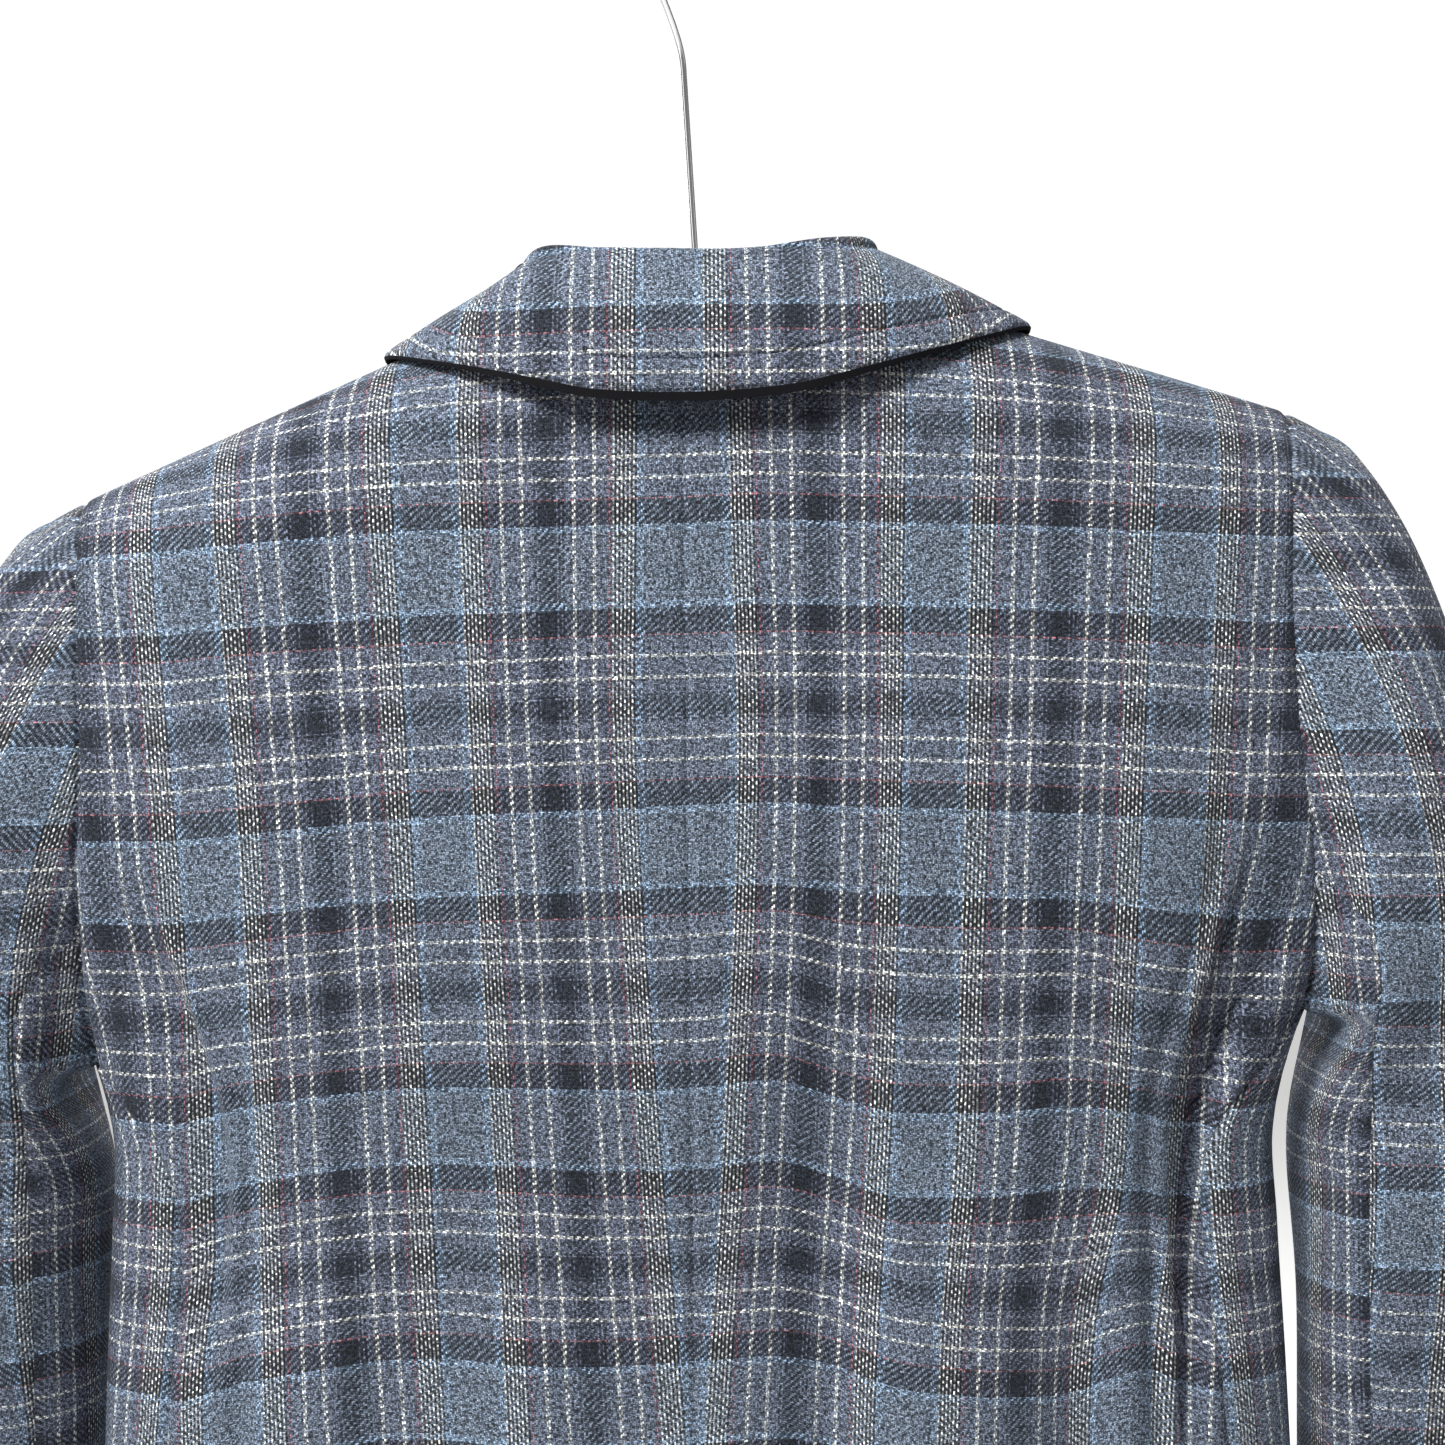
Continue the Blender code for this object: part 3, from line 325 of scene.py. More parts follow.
# How far the crosswise lines of the check sag on the back, in millimetres, at a place across
# (towards the wearer's right above 0) and at a drop below the nape, which its column names
SAG_DROPS = {
    "at_70": 0.07,
    "at_110": 0.11,
    "at_170": 0.17,
    "at_230": 0.23,
    "at_280": 0.28,
    "at_340": 0.34,
}
Sag = namedtuple("Sag", ["across", *SAG_DROPS])
SAGS = [
    Sag(-0.175, 5.5, 7.0, 10.0, 12.0, 14.0, 15.0),
    Sag(-0.150, 4.0, 5.0, 8.0, 8.0, 6.5, 7.0),
    Sag(-0.120, 2.0, 3.5, 5.3, 4.0, 0.8, 1.0),
    Sag(-0.090, 0.5, 2.2, 2.8, 1.0, -1.3, -1.0),
    Sag(-0.060, 0.0, 1.4, 1.8, 0.8, -0.5, -0.5),
    Sag(-0.030, -0.5, 0.4, 0.8, 1.0, 1.3, 1.0),
    Sag(0.000, -1.0, 0.0, -0.3, 0.6, 1.3, 0.0),
    Sag(0.030, -1.8, -0.5, -0.8, -0.8, -0.5, -0.5),
    Sag(0.050, -1.0, 0.0, 0.5, 5.2, 5.9, 4.4),
    Sag(0.065, -0.5, 0.5, 1.2, 7.0, 10.4, 7.4),
    Sag(0.085, 0.2, 1.0, 2.0, 8.4, 11.3, 10.0),
    Sag(0.105, 0.8, 2.0, 3.0, 8.5, 11.4, 12.3),
    Sag(0.130, 1.8, 3.0, 4.4, 8.6, 9.8, 13.5),
    Sag(0.148, 2.8, 4.0, 5.5, 12.7, 12.2, 6.5),
    Sag(0.170, 3.8, 5.5, 6.8, 16.5, 19.0, 14.0),
    Sag(0.195, 4.8, 7.0, 8.5, 19.0, 22.0, 20.0),
]

FRONT_AT_SEAM = 0.0073
FRONT_SEAM_DROP = 0.380
FRONT_LOWER = 0.0137
COLLAR_BOX_ACROSS = 0.0040
COLLAR_BOX_DOWN = 0.0115
COLLAR_STRETCH = 1.02

# Where, on its way round the neck, the collar's check leaves the upright, where its crease fades
# and where the felt's lip, a strip of painted shadow, does
COLLAR_TURNS = (0.24, 0.62)
CREASE_ENDS = (0.42, 0.62)
SHADE_LIP_ENDS = (0.10, 0.50)
SLEEVE_BOX = 0.012

# Folds move the cloth mostly in depth, so that its lines keep their places seen from behind
FOLD_WAY = np.array([0.25, 1.0, 0.25])

# The small folds that the picture shows, and like ones where it shows nothing
SMALL_FADE = Fade(0.4, 0.7, 1.2)
SMALL_FOLDS = [
    Fold(RIGHT, 0.215, 0.470, 0.205, 0.160, 0.022, -0.0028),
    Fold(RIGHT, 0.225, 0.520, 0.262, 0.300, 0.040, 0.0030),
    Fold(RIGHT, 0.250, 0.520, 0.660, 0.610, 0.045, 0.0030),
    Fold(RIGHT, 0.175, 0.375, 0.850, 0.802, 0.013, -0.0120),
    Fold(RIGHT, 0.150, 0.330, 0.790, 0.790, 0.022, 0.0040),
    Fold(RIGHT, 0.240, 0.500, 0.742, 0.700, 0.030, -0.0040),
    Fold(RIGHT, 0.120, 0.300, 0.720, 0.735, 0.035, -0.0030),
    Fold(LEFT, 0.140, 0.330, 0.700, 0.690, 0.040, -0.0028),
    Fold(LEFT, 0.230, 0.520, 0.330, 0.290, 0.050, -0.0022),
    Fold(LEFT, 0.260, 0.540, 0.520, 0.500, 0.050, 0.0022),
    Fold(LEFT, 0.250, 0.520, 0.720, 0.690, 0.036, -0.0032),
    Fold(RIGHT, 0.180, 0.430, 1.290, 1.300, 0.040, -0.0030),
    Fold(LEFT, 0.200, 0.460, 1.300, 1.310, 0.045, -0.0030),
    Fold(RIGHT, 0.330, 0.560, 1.520, 1.500, 0.060, -0.0025),
    Fold(LEFT, 0.320, 0.560, 1.500, 1.530, 0.060, 0.0025),
]
SMALL_SLEEVE_FOLDS = [
    SleeveFold(1.6, 0.06, 0.8, 0.035, -0.0016),
    SleeveFold(1.8, 0.93, 0.9, 0.040, -0.0015),
    SleeveFold(4.4, 0.84, 0.7, 0.045, -0.0028),
    SleeveFold(5.8, 0.70, 0.8, 0.050, -0.0030),
    SleeveFold(6.0, 0.18, 1.0, 0.050, -0.0025),
    SleeveFold(7.2, 0.44, 0.7, 0.060, -0.0028),
    SleeveFold(8.6, 0.90, 0.8, 0.060, -0.0022),
]

# The pressed crease along the collar, measured back from its outer edge
CREASE_BACK = 0.0110
CREASE_DEEP = 0.0008
CREASE_WIDE = 0.0006
CREASE_ROLL = 0.0003
CREASE_PLACES = 34

# How much further the collar's edge stands off the back than its solid, and how far the near-black
# felt under it reaches past that edge at the middle of the back: a lip of painted shadow under the edge
EDGE_LIFT = 0.0035
SHADE_LIP = 0.0024
SHADE_LIP_REST = 0.15

# The lamps: which setting gives the power, and the share of it; a lamp's size and its place
Lamp = namedtuple("Lamp", "name setting share size place")
LAMPS = [
    Lamp("main_light", "key_power", 1.0, (0.8, 0.7), (1.05, 1.55, 1.45)),
    Lamp("left_light", "fill_power", 1.0, (1.0, 1.6), (1.9, 1.1, -0.2)),
    Lamp("right_light", "fill_power", 0.3, (1.0, 1.6), (-1.9, 1.1, -0.2)),
    Lamp("front_light", "key_power", 0.6, (1.8, 1.4), (0.2, -2.0, 1.0)),
]
LAMP_AIM = (0.0, 0.0, -0.42)
BACKDROP_STRENGTH = 1.05

# The camera, close behind the back and turned a little, as in the picture
CAMERA_PLACE = (CENTRE_X - 0.012, 0.75, NAPE_Z - 0.1325)
CAMERA_LENS = 52.3
CAMERA_ROLL = math.radians(0.72)

# How far an edge rolls in, and over what distance
Dip = namedtuple("Dip", "deep reach")
SEAM_DIP = Dip(0.0012, 0.0016)
OPEN_EDGE = Dip(0.0007, 0.0009)
ROLLED = Dip(0.0004, 0.0020)


class BlazerClothSettings(bpy.types.PropertyGroup):
    """The sizes and colours of the woven cloth."""

    end_width: bpy.props.FloatProperty(
        name="Warp thread",
        description="The width of one lengthwise thread",
        default=WARP_REPEAT / WARP_THREADS,
        min=0.0003,
        max=0.003,
        precision=6,
        subtype="DISTANCE",
        unit="LENGTH",
    )
    pick_height: bpy.props.FloatProperty(
        name="Weft thread",
        description="The height of one crosswise thread",
        default=WEFT_REPEAT / WEFT_THREADS,
        min=0.0003,
        max=0.003,
        precision=6,
        subtype="DISTANCE",
        unit="LENGTH",
    )
    slate: bpy.props.FloatVectorProperty(
        name="Slate yarn",
        description="The mixed yarn of the ground",
        default=(0.182, 0.207, 0.284),
        subtype="COLOR",
        min=0.0,
        max=1.0,
    )
    misty: bpy.props.FloatVectorProperty(
        name="Misty yarn",
        description="The bluer mixed yarn inside the boxes",
        default=(0.225, 0.278, 0.360),
        subtype="COLOR",
        min=0.0,
        max=1.0,
    )
    pale: bpy.props.FloatVectorProperty(
        name="Pale hairs",
        description="The pale hairs of the nap",
        default=(0.40, 0.44, 0.53),
        subtype="COLOR",
        min=0.0,
        max=1.0,
    )
    black: bpy.props.FloatVectorProperty(
        name="Black yarn",
        description="The darkest yarn, of the salt and pepper stripes",
        default=(0.0080, 0.0100, 0.0160),
        subtype="COLOR",
        min=0.0,
        max=1.0,
    )
    dim: bpy.props.FloatVectorProperty(
        name="Dim yarn",
        description="The dark mixed yarn of the dark bands",
        default=(0.030, 0.037, 0.053),
        subtype="COLOR",
        min=0.0,
        max=1.0,
    )
    milling: bpy.props.FloatProperty(
        name="Milling",
        description="How far the milled threads of the two ways blend into each other",
        default=0.26,
        subtype="FACTOR",
        min=0.0,
        max=1.0,
    )
    cream: bpy.props.FloatVectorProperty(
        name="Cream yarn",
        description="The palest yarn, of the thin white lines",
        default=(0.96, 0.98, 0.95),
        subtype="COLOR",
        min=0.0,
        max=1.0,
    )
    blue: bpy.props.FloatVectorProperty(
        name="Light blue yarn",
        description="The yarn of the box lines",
        default=(0.33, 0.46, 0.63),
        subtype="COLOR",
        min=0.0,
        max=1.0,
    )
    rose: bpy.props.FloatVectorProperty(
        name="Rose yarn",
        description="The single reddish threads",
        default=(0.40, 0.16, 0.18),
        subtype="COLOR",
        min=0.0,
        max=1.0,
    )
    # The felt's near-black is partly its own colour and partly painted shadow under the collar's edge
    felt: bpy.props.FloatVectorProperty(
        name="Felt",
        description="The dark felt on the underside of the collar",
        default=(0.012, 0.012, 0.015),
        subtype="COLOR",
        min=0.0,
        max=1.0,
    )


class BlazerStitchSettings(bpy.types.PropertyGroup):
    """The sizes of the buttonholes and of their stitches."""

    hole_length: bpy.props.FloatProperty(
        name="Buttonhole",
        description="The length of a buttonhole",
        default=0.026,
        min=0.010,
        max=0.040,
        subtype="DISTANCE",
        unit="LENGTH",
    )
    stitch_length: bpy.props.FloatProperty(
        name="Stitch length",
        description="The length of one stitch across the buttonhole's edge",
        default=0.0021,
        min=0.0005,
        max=0.005,
        precision=5,
        subtype="DISTANCE",
        unit="LENGTH",
    )
    stitch_pitch: bpy.props.FloatProperty(
        name="Stitch spacing",
        description="The way from one stitch to the next",
        default=0.00062,
        min=0.0003,
        max=0.005,
        precision=5,
        subtype="DISTANCE",
        unit="LENGTH",
    )
    thread_width: bpy.props.FloatProperty(
        name="Thread",
        description="The thickness of the thread",
        default=0.00056,
        min=0.0002,
        max=0.002,
        precision=5,
        subtype="DISTANCE",
        unit="LENGTH",
    )


class BlazerHangerSettings(bpy.types.PropertyGroup):
    """The colours of the buttons, the hanger and its hook."""

    horn: bpy.props.FloatVectorProperty(
        name="Horn",
        description="The colour of the buttons",
        default=(0.018, 0.020, 0.030),
        subtype="COLOR",
        min=0.0,
        max=1.0,
    )
    bar: bpy.props.FloatVectorProperty(
        name="Hanger",
        description="The colour of the hanger's bar",
        default=(0.022, 0.022, 0.024),
        subtype="COLOR",
        min=0.0,
        max=1.0,
    )
    wire: bpy.props.FloatVectorProperty(
        name="Wire",
        description="The colour of the hook's plated wire",
        default=(0.78, 0.78, 0.79),
        subtype="COLOR",
        min=0.0,
        max=1.0,
    )


class BlazerStageSettings(bpy.types.PropertyGroup):
    """The floor and the light."""

    floor_height: bpy.props.FloatProperty(
        name="Floor",
        description="The height of the floor",
        default=-1.10,
        min=-3.0,
        max=-0.85,
        subtype="DISTANCE",
        unit="LENGTH",
    )
    key_power: bpy.props.FloatProperty(
        name="Main light",
        description="The power of the large soft light in front of the back",
        default=70.0,
        min=0.0,
        max=500.0,
        unit="POWER",
    )
    fill_power: bpy.props.FloatProperty(
        name="Side light",
        description="The power of the soft light at the left; the one at the right has a share of it",
        default=7.0,
        min=0.0,
        max=500.0,
        unit="POWER",
    )
    surround: bpy.props.FloatProperty(
        name="Surround",
        description="The strength of the even light from all round",
        default=0.22,
        min=0.0,
        max=5.0,
    )


class Reading:
    """A number in a material. Working with it adds the Math nodes that it needs."""

    def __init__(self, finish, socket):
        self.finish = finish
        self.socket = socket

    def worked(self, operation, *others):
        """The result of one Math node on this number and others."""
        return self.finish.add("ShaderNodeMath", {"operation": operation}, dict(enumerate((self, *others))))

    def __add__(self, other):
        return self.worked("ADD", other)

    def __radd__(self, other):
        return self.worked("ADD", other)

    def __sub__(self, other):
        return self.worked("SUBTRACT", other)

    def __rsub__(self, other):
        return self.finish.add("ShaderNodeMath", {"operation": "SUBTRACT"}, {0: other, 1: self})

    def __mul__(self, other):
        return self.worked("MULTIPLY", other)

    def __rmul__(self, other):
        return self.worked("MULTIPLY", other)

    def __truediv__(self, other):
        return self.worked("DIVIDE", other)

    def __pow__(self, other):
        return self.worked("POWER", other)

    def __lt__(self, other):
        return self.worked("LESS_THAN", other)

    def __abs__(self):
        return self.worked("ABSOLUTE")

    def __floor__(self):
        return self.worked("FLOOR")

    def share(self):
        """The part after the point."""
        return self.worked("FRACT")

    def within(self, length):
        """The place within a repeat of this length, from 0."""
        return self.worked("FLOORED_MODULO", length)

    def folded(self, length):
        """The distance from the nearest repeat of this length."""
        place = self.within(length)
        return place.worked("MINIMUM", length - place)

    def least(self, other):
        """The smaller of two numbers."""
        return self.worked("MINIMUM", other)

    def most(self, other):
        """The larger of two numbers."""
        return self.worked("MAXIMUM", other)

    def kept(self):
        """The number, kept from 0 to 1."""
        return self.most(0.0).least(1.0)


class Finish:
    """A material in the making."""

    def __init__(self, name):
        self.material = bpy.data.materials.new(name)
        self.material.use_nodes = True
        self.tree = self.material.node_tree
        self.tree.nodes.clear()

    def add(self, kind, settings=None, sockets=None, result=0):
        """Add a node: its settings first, then what goes into its sockets."""
        node = self.tree.nodes.new(kind)
        for name, value in (settings or {}).items():
            if name == "stops":
                self.set_stops(node.color_ramp, value)
            elif name == "fade":
                node.color_ramp.interpolation = value
            else:
                setattr(node, name, value)
        for name, value in (sockets or {}).items():
            if isinstance(value, Reading):
                self.tree.links.new(value.socket, node.inputs[name])
            else:
                node.inputs[name].default_value = value
        return Reading(self, node.outputs[result]) if node.outputs else node

    @staticmethod
    def set_stops(ramp, stops):
        """Give a ramp its stops, as places and colours."""
        while len(ramp.elements) > 1:
            ramp.elements.remove(ramp.elements[-1])
        ramp.elements[0].position = stops[0][0]
        ramp.elements[0].color = (*stops[0][1], 1.0)
        for place, colour in stops[1:]:
            ramp.elements.new(place).color = (*colour, 1.0)

    def mixed(self, share, first, second, blend="MIX"):
        """Two colours mixed, or one laid over the other."""
        settings = {"data_type": "RGBA", "blend_type": blend}
        sockets = {0: share, 6: self.opaque(first), 7: self.opaque(second)}
        return self.add("ShaderNodeMix", settings, sockets, result=2)

    @staticmethod
    def opaque(colour):
        """A plain colour as the four numbers that a socket takes."""
        return colour if isinstance(colour, Reading) else (*colour, 1.0)

    def vector(self, x, y, z=0.0):
        """A vector from its parts."""
        return self.add("ShaderNodeCombineXYZ", None, {"X": x, "Y": y, "Z": z})

    def part(self, vector, name):
        """One part of a vector."""
        return self.add("ShaderNodeSeparateXYZ", None, {"Vector": vector}, result=name)

    def noise(self, place, scale, detail=2.0, roughness=0.5):
        """Soft noise, about 0.5."""
        settings = {"noise_dimensions": "3D"}
        sockets = {"Vector": place, "Scale": scale, "Detail": detail, "Roughness": roughness}
        return self.add("ShaderNodeTexNoise", settings, sockets, result="Fac")

    def chance(self, place):
        """A number by chance from 0 to 1, the same all over one cell."""
        settings = {"noise_dimensions": "3D"}
        return self.add("ShaderNodeTexWhiteNoise", settings, {"Vector": place}, result="Value")

    def bump(self, height, strength, distance):
        """The direction of the surface, moved by a height."""
        sockets = {"Strength": strength, "Distance": distance, "Height": height}
        return self.add("ShaderNodeBump", None, sockets)

    def finished(self, **sockets):
        """End the material in its shader."""
        named = {name.replace("_", " "): value for name, value in sockets.items()}
        shader = self.add("ShaderNodeBsdfPrincipled", None, named)
        self.add("ShaderNodeOutputMaterial", None, {"Surface": shader})
        return self.material


def even_and_odd(stops):
    """The stops of the even threads and of the odd ones, where a band takes turns."""
    return [
        [(place, pair[which] if isinstance(pair, list) else pair) for place, pair in stops]
        for which in (0, 1)
    ]


def cloth_finish():
    """The checked wool: a two and two twill, thread by thread, with a soft nap."""
    kept = bpy.data.materials.get("checked wool")
    if kept:
        return kept
    yarn = bpy.context.scene.blazer_cloth
    slate, misty, black, dim = tuple(yarn.slate), tuple(yarn.misty), tuple(yarn.black), tuple(yarn.dim)
    cream, blue, rose, pale = tuple(yarn.cream), tuple(yarn.blue), tuple(yarn.rose), tuple(yarn.pale)
    finish = Finish("checked wool")
    map_place = finish.add("ShaderNodeUVMap", {"uv_map": "cloth"})
    wobble = finish.noise(map_place, 260.0, 1.0)
    across = finish.part(map_place, "X") / yarn.end_width + (wobble - 0.5) * 0.9
    swapped = finish.vector(finish.part(map_place, "Y"), finish.part(map_place, "X"))
    wobble_up = finish.noise(swapped, 230.0, 1.0)
    up = finish.part(map_place, "Y") / yarn.pick_height + (wobble_up - 0.5) * 0.9

    end = math.floor(across)
    pick = math.floor(up)
    end_share = across.share()
    pick_share = up.share()

    # The distance from the middle of a warp float, and whether the warp lies on top
    warp_way = abs((end - up + 2.0).within(4.0) - 2.0)
    warp_over = warp_way < 1.0
    weft_way = abs((across - pick - 1.0).within(4.0) - 2.0)
    warp_round = 1.0 - (end_share * 2.0 - 1.0) ** 2.0
    weft_round = 1.0 - (pick_share * 2.0 - 1.0) ** 2.0
    warp_height = warp_round * (1.0 - 0.55 * warp_way.kept() ** 2.0)
    weft_height = weft_round * (1.0 - 0.55 * weft_way.kept() ** 2.0)
    height = weft_height + (warp_height - weft_height) * warp_over

    # The order of the threads in the check, from the middle of a box, which is its own mirror image
    half_warp, half_weft = WARP_THREADS / 2, WEFT_THREADS / 2
    warp_stops = [
        (0.0, misty),
        (12 / half_warp, blue),
        (16 / half_warp, [cream, black]),
        (28 / half_warp, slate),
        (29 / half_warp, rose),
        (30 / half_warp, slate),
        (36 / half_warp, cream),
        (38 / half_warp, slate),
        (46 / half_warp, cream),
        (48 / half_warp, slate),
        (52 / half_warp, [slate, dim]),
        (56 / half_warp, dim),
    ]
    weft_stops = [
        (0.0, misty),
        (19 / half_weft, blue),
        (23 / half_weft, [dim, black]),
        (37 / half_weft, rose),
        (38 / half_weft, slate),
        (48 / half_weft, cream),
        (50 / half_weft, slate),
        (60 / half_weft, cream),
        (62 / half_weft, slate),
        (70 / half_weft, [slate, dim]),
        (73 / half_weft, dim),
    ]
    warp_place = (end + 0.5).folded(WARP_THREADS) / half_warp
    weft_place = (pick + 0.5).folded(WEFT_THREADS) / half_weft
    colours = []
    for place, stops, thread in ((warp_place, warp_stops, end), (weft_place, weft_stops, pick)):
        even, odd = even_and_odd(stops)
        ramps = [
            finish.add("ShaderNodeValToRGB", {"fade": "CONSTANT", "stops": each}, {"Fac": place})
            for each in (even, odd)
        ]
        colours.append(finish.mixed(thread.within(2.0), ramps[0], ramps[1]))
    top_colour = finish.mixed(warp_over, colours[1], colours[0])
    thread_colour = finish.mixed(yarn.milling, top_colour, finish.mixed(0.5, colours[0], colours[1]))

    # Each thread is a mixture, with painted shade in the hollows of the weave, and a nap of dark and pale
    # hairs over all
    fleck = finish.chance(finish.vector(end, pick))
    fuzz = finish.noise(map_place, 950.0, 3.0, 0.8)
    cloudy = finish.noise(map_place, 34.0, 3.0)
    rough = ((fuzz - 0.5) * 5.0 + 0.5).kept()
    # The height term paints the shade in the weave's hollows; the fleck, fuzz and cloudy terms are the yarn's
    # own mixed tone
    light = (0.28 + 0.98 * height) * (0.20 + 1.42 * fleck) * (0.16 + 1.74 * rough) * (0.90 + 0.20 * cloudy)
    shaded = finish.mixed(1.0, thread_colour, finish.vector(light, light, light), "MULTIPLY")
    hairs = finish.noise(map_place, 2100.0, 2.0, 0.7)
    hair = ((hairs - 0.40) * 2.2).kept() * 0.22
    hair_tone = finish.mixed(finish.chance(finish.vector(pick, end, 3.0)), black, pale)
    napped = finish.mixed(hair, shaded, hair_tone)
    surface = finish.bump(height + 0.5 * rough, 0.45, 0.0003)
    return finish.finished(
        Base_Color=napped,
        Roughness=0.86 + 0.10 * hairs,
        Normal=surface,
        Sheen_Weight=0.10,
        Sheen_Roughness=0.6,
        Sheen_Tint=(0.75, 0.80, 0.90, 1.0),
        Specular_IOR_Level=0.2,
    )


def felt_and_shade_finish():
    """The dark felt under the collar, near-black so that its rim and lip paint the shadow under the collar's
    edge.
    """
    kept = bpy.data.materials.get("dark felt")
    if kept:
        return kept
    felt = tuple(bpy.context.scene.blazer_cloth.felt)
    finish = Finish("dark felt")
    place = finish.add("ShaderNodeUVMap", {"uv_map": "cloth"})
    fibres = finish.noise(place, 1500.0, 4.0, 0.65)
    matted = finish.noise(place, 180.0, 3.0)
    tone = (0.6 + 0.7 * fibres) * (0.8 + 0.4 * matted)
    colour = finish.mixed(1.0, felt, finish.vector(tone, tone, tone), "MULTIPLY")
    return finish.finished(
        Base_Color=colour,
        Roughness=0.9 + 0.08 * fibres,
        Normal=finish.bump(fibres, 0.4, 0.0003),
        Specular_IOR_Level=0.2,
    )


def thread_finish():
    """The twisted thread of the stitches."""
    kept = bpy.data.materials.get("dark thread")
    if kept:
        return kept
    finish = Finish("dark thread")
    place = finish.add("ShaderNodeTexCoord", None, None, result="Object")
    twist = finish.noise(place, 2200.0, 2.0)
    tone = 0.5 + 1.0 * twist
    colour = finish.mixed(1.0, (0.030, 0.036, 0.052), finish.vector(tone, tone, tone), "MULTIPLY")
    return finish.finished(
        Base_Color=colour,
        Roughness=0.50 + 0.2 * twist,
        Normal=finish.bump(twist, 0.3, 0.0001),
    )


def horn_finish():
    """The dark horn of the buttons, streaked and polished."""
    kept = bpy.data.materials.get("dark horn")
    if kept:
        return kept
    horn = tuple(bpy.context.scene.blazer_hanger.horn)
    finish = Finish("dark horn")
    place = finish.add("ShaderNodeTexCoord", None, None, result="Object")
    stretched = finish.add("ShaderNodeMapping", None, {"Vector": place, "Scale": (1.0, 1.0, 5.0)})
    streaks = finish.noise(stretched, 130.0, 5.0, 0.6)
    pale = ((streaks - 0.5) * 3.0).kept()
    colour = finish.mixed(pale * 0.55, horn, (0.085, 0.078, 0.080))
    fine = finish.noise(place, 1400.0, 2.0)
    return finish.finished(
        Base_Color=colour,
        Roughness=0.24 + 0.14 * fine + 0.10 * pale,
        Normal=finish.bump(fine, 0.08, 0.0001),
        Specular_IOR_Level=0.5,
    )


def bar_finish():
    """The hanger's bar: dark satin, with faint handling marks."""
    kept = bpy.data.materials.get("dark satin bar")
    if kept:
        return kept
    bar = tuple(bpy.context.scene.blazer_hanger.bar)
    finish = Finish("dark satin bar")
    place = finish.add("ShaderNodeTexCoord", None, None, result="Object")
    fine = finish.noise(place, 900.0, 3.0)
    marks = finish.noise(place, 60.0, 4.0)
    colour = finish.mixed(marks * 0.5, bar, (0.040, 0.040, 0.042))
    return finish.finished(
        Base_Color=colour,
        Roughness=0.36 + 0.16 * marks + 0.06 * fine,
        Normal=finish.bump(fine, 0.12, 0.0002),
    )


def wire_finish():
    """The hook's bright plated wire, with faint drawing lines and small dull marks."""
    kept = bpy.data.materials.get("bright wire")
    if kept:
        return kept
    wire = tuple(bpy.context.scene.blazer_hanger.wire)
    finish = Finish("bright wire")
    place = finish.add("ShaderNodeTexCoord", None, None, result="Object")
    lengthwise = finish.add("ShaderNodeMapping", None, {"Vector": place, "Scale": (1.0, 1.0, 0.08)})
    lines = finish.noise(lengthwise, 3000.0, 2.0)
    marks = finish.noise(place, 240.0, 3.0)
    dull = ((marks - 0.55) * 4.0).kept()
    colour = finish.mixed(dull * 0.35, wire, (0.36, 0.36, 0.36))
    return finish.finished(
        Base_Color=colour,
        Metallic=1.0,
        Roughness=0.09 + 0.05 * lines + 0.14 * dull,
        Normal=finish.bump(lines, 0.02, 0.0001),
    )


def floor_finish():
    """The plain pale floor."""
    kept = bpy.data.materials.get("pale floor")
    if kept:
        return kept
    finish = Finish("pale floor")
    place = finish.add("ShaderNodeTexCoord", None, None, result="Object")
    worn = finish.noise(place, 3.0, 3.0)
    colour = finish.mixed(worn * 0.3, (0.86, 0.86, 0.85), (0.80, 0.80, 0.79))
    return finish.finished(
        Base_Color=colour,
        Roughness=0.65 + 0.1 * worn,
        Emission_Color=colour,
        Emission_Strength=0.45,
    )


def read(table, name, at):
    """The value of a table's column, on a smooth curve through its rows."""
    places = np.array([row[0] for row in table])
    values = np.array([getattr(row, name) for row in table])
    slopes = np.gradient(values, places)
    at = np.asarray(at, dtype=float)
    index = np.clip(np.searchsorted(places, at) - 1, 0, len(places) - 2)
    span = places[index + 1] - places[index]
    t = np.clip((at - places[index]) / span, 0.0, 1.0)
    start = (2 * t**3 - 3 * t**2 + 1) * values[index] + (t**3 - 2 * t**2 + t) * span * slopes[index]
    end = (3 * t**2 - 2 * t**3) * values[index + 1] + (t**3 - t**2) * span * slopes[index + 1]
    return start + end


def smooth_step(low, high, at):
    """A soft rise from 0 at low to 1 at high."""
    t = np.clip((at - low) / (high - low), 0.0, 1.0)
    return t * t * (3 - 2 * t)


def unit(vectors):
    """Vectors of length 1."""
    return vectors / np.linalg.norm(vectors, axis=-1, keepdims=True)


def along_section(turn):
    """Where a turn lies on a rounded section of half width 1 and half depth 1."""
    near = np.where(turn <= 1.0, turn, 2.0 - turn)
    a = np.where(near < FLAT_SHARE, near / FLAT_SHARE, 1.0)
    b = np.where(near < FLAT_SHARE, 1.0, (1.0 - near) / (1.0 - FLAT_SHARE))
    size = (np.abs(a) ** ROUNDNESS + np.abs(b) ** ROUNDNESS) ** (1 / ROUNDNESS)
    return a / size, np.where(turn <= 1.0, b, -b) / size


def turn_at(across, half_width):
    """The turn, from the nearer centre line, of a place at a distance across."""
    ratio = np.asarray(across) / half_width
    rest = (1 - np.abs(ratio) ** ROUNDNESS) ** (1 / ROUNDNESS)
    near_side = 1 - (1 - FLAT_SHARE) * rest / np.maximum(np.abs(ratio), 0.1)
    return np.where(np.abs(ratio) <= rest, FLAT_SHARE * ratio / rest, near_side)


def ridge_drop(across, side):
    """The height of the shoulder ridge at a distance from the centre."""
    return APEX_DROP + SHOULDER_SLOPE[side] * np.abs(across)


def fall_of(down):
    """How far a way down the cloth falls below the ridge, round the shoulder first."""
    angle = np.clip(np.abs(down) / ROUND_PATH, 0, 1) * math.pi / 2
    return SHOULDER_ROUND * (1 - np.cos(angle)) + np.maximum(np.abs(down) - ROUND_PATH, 0)


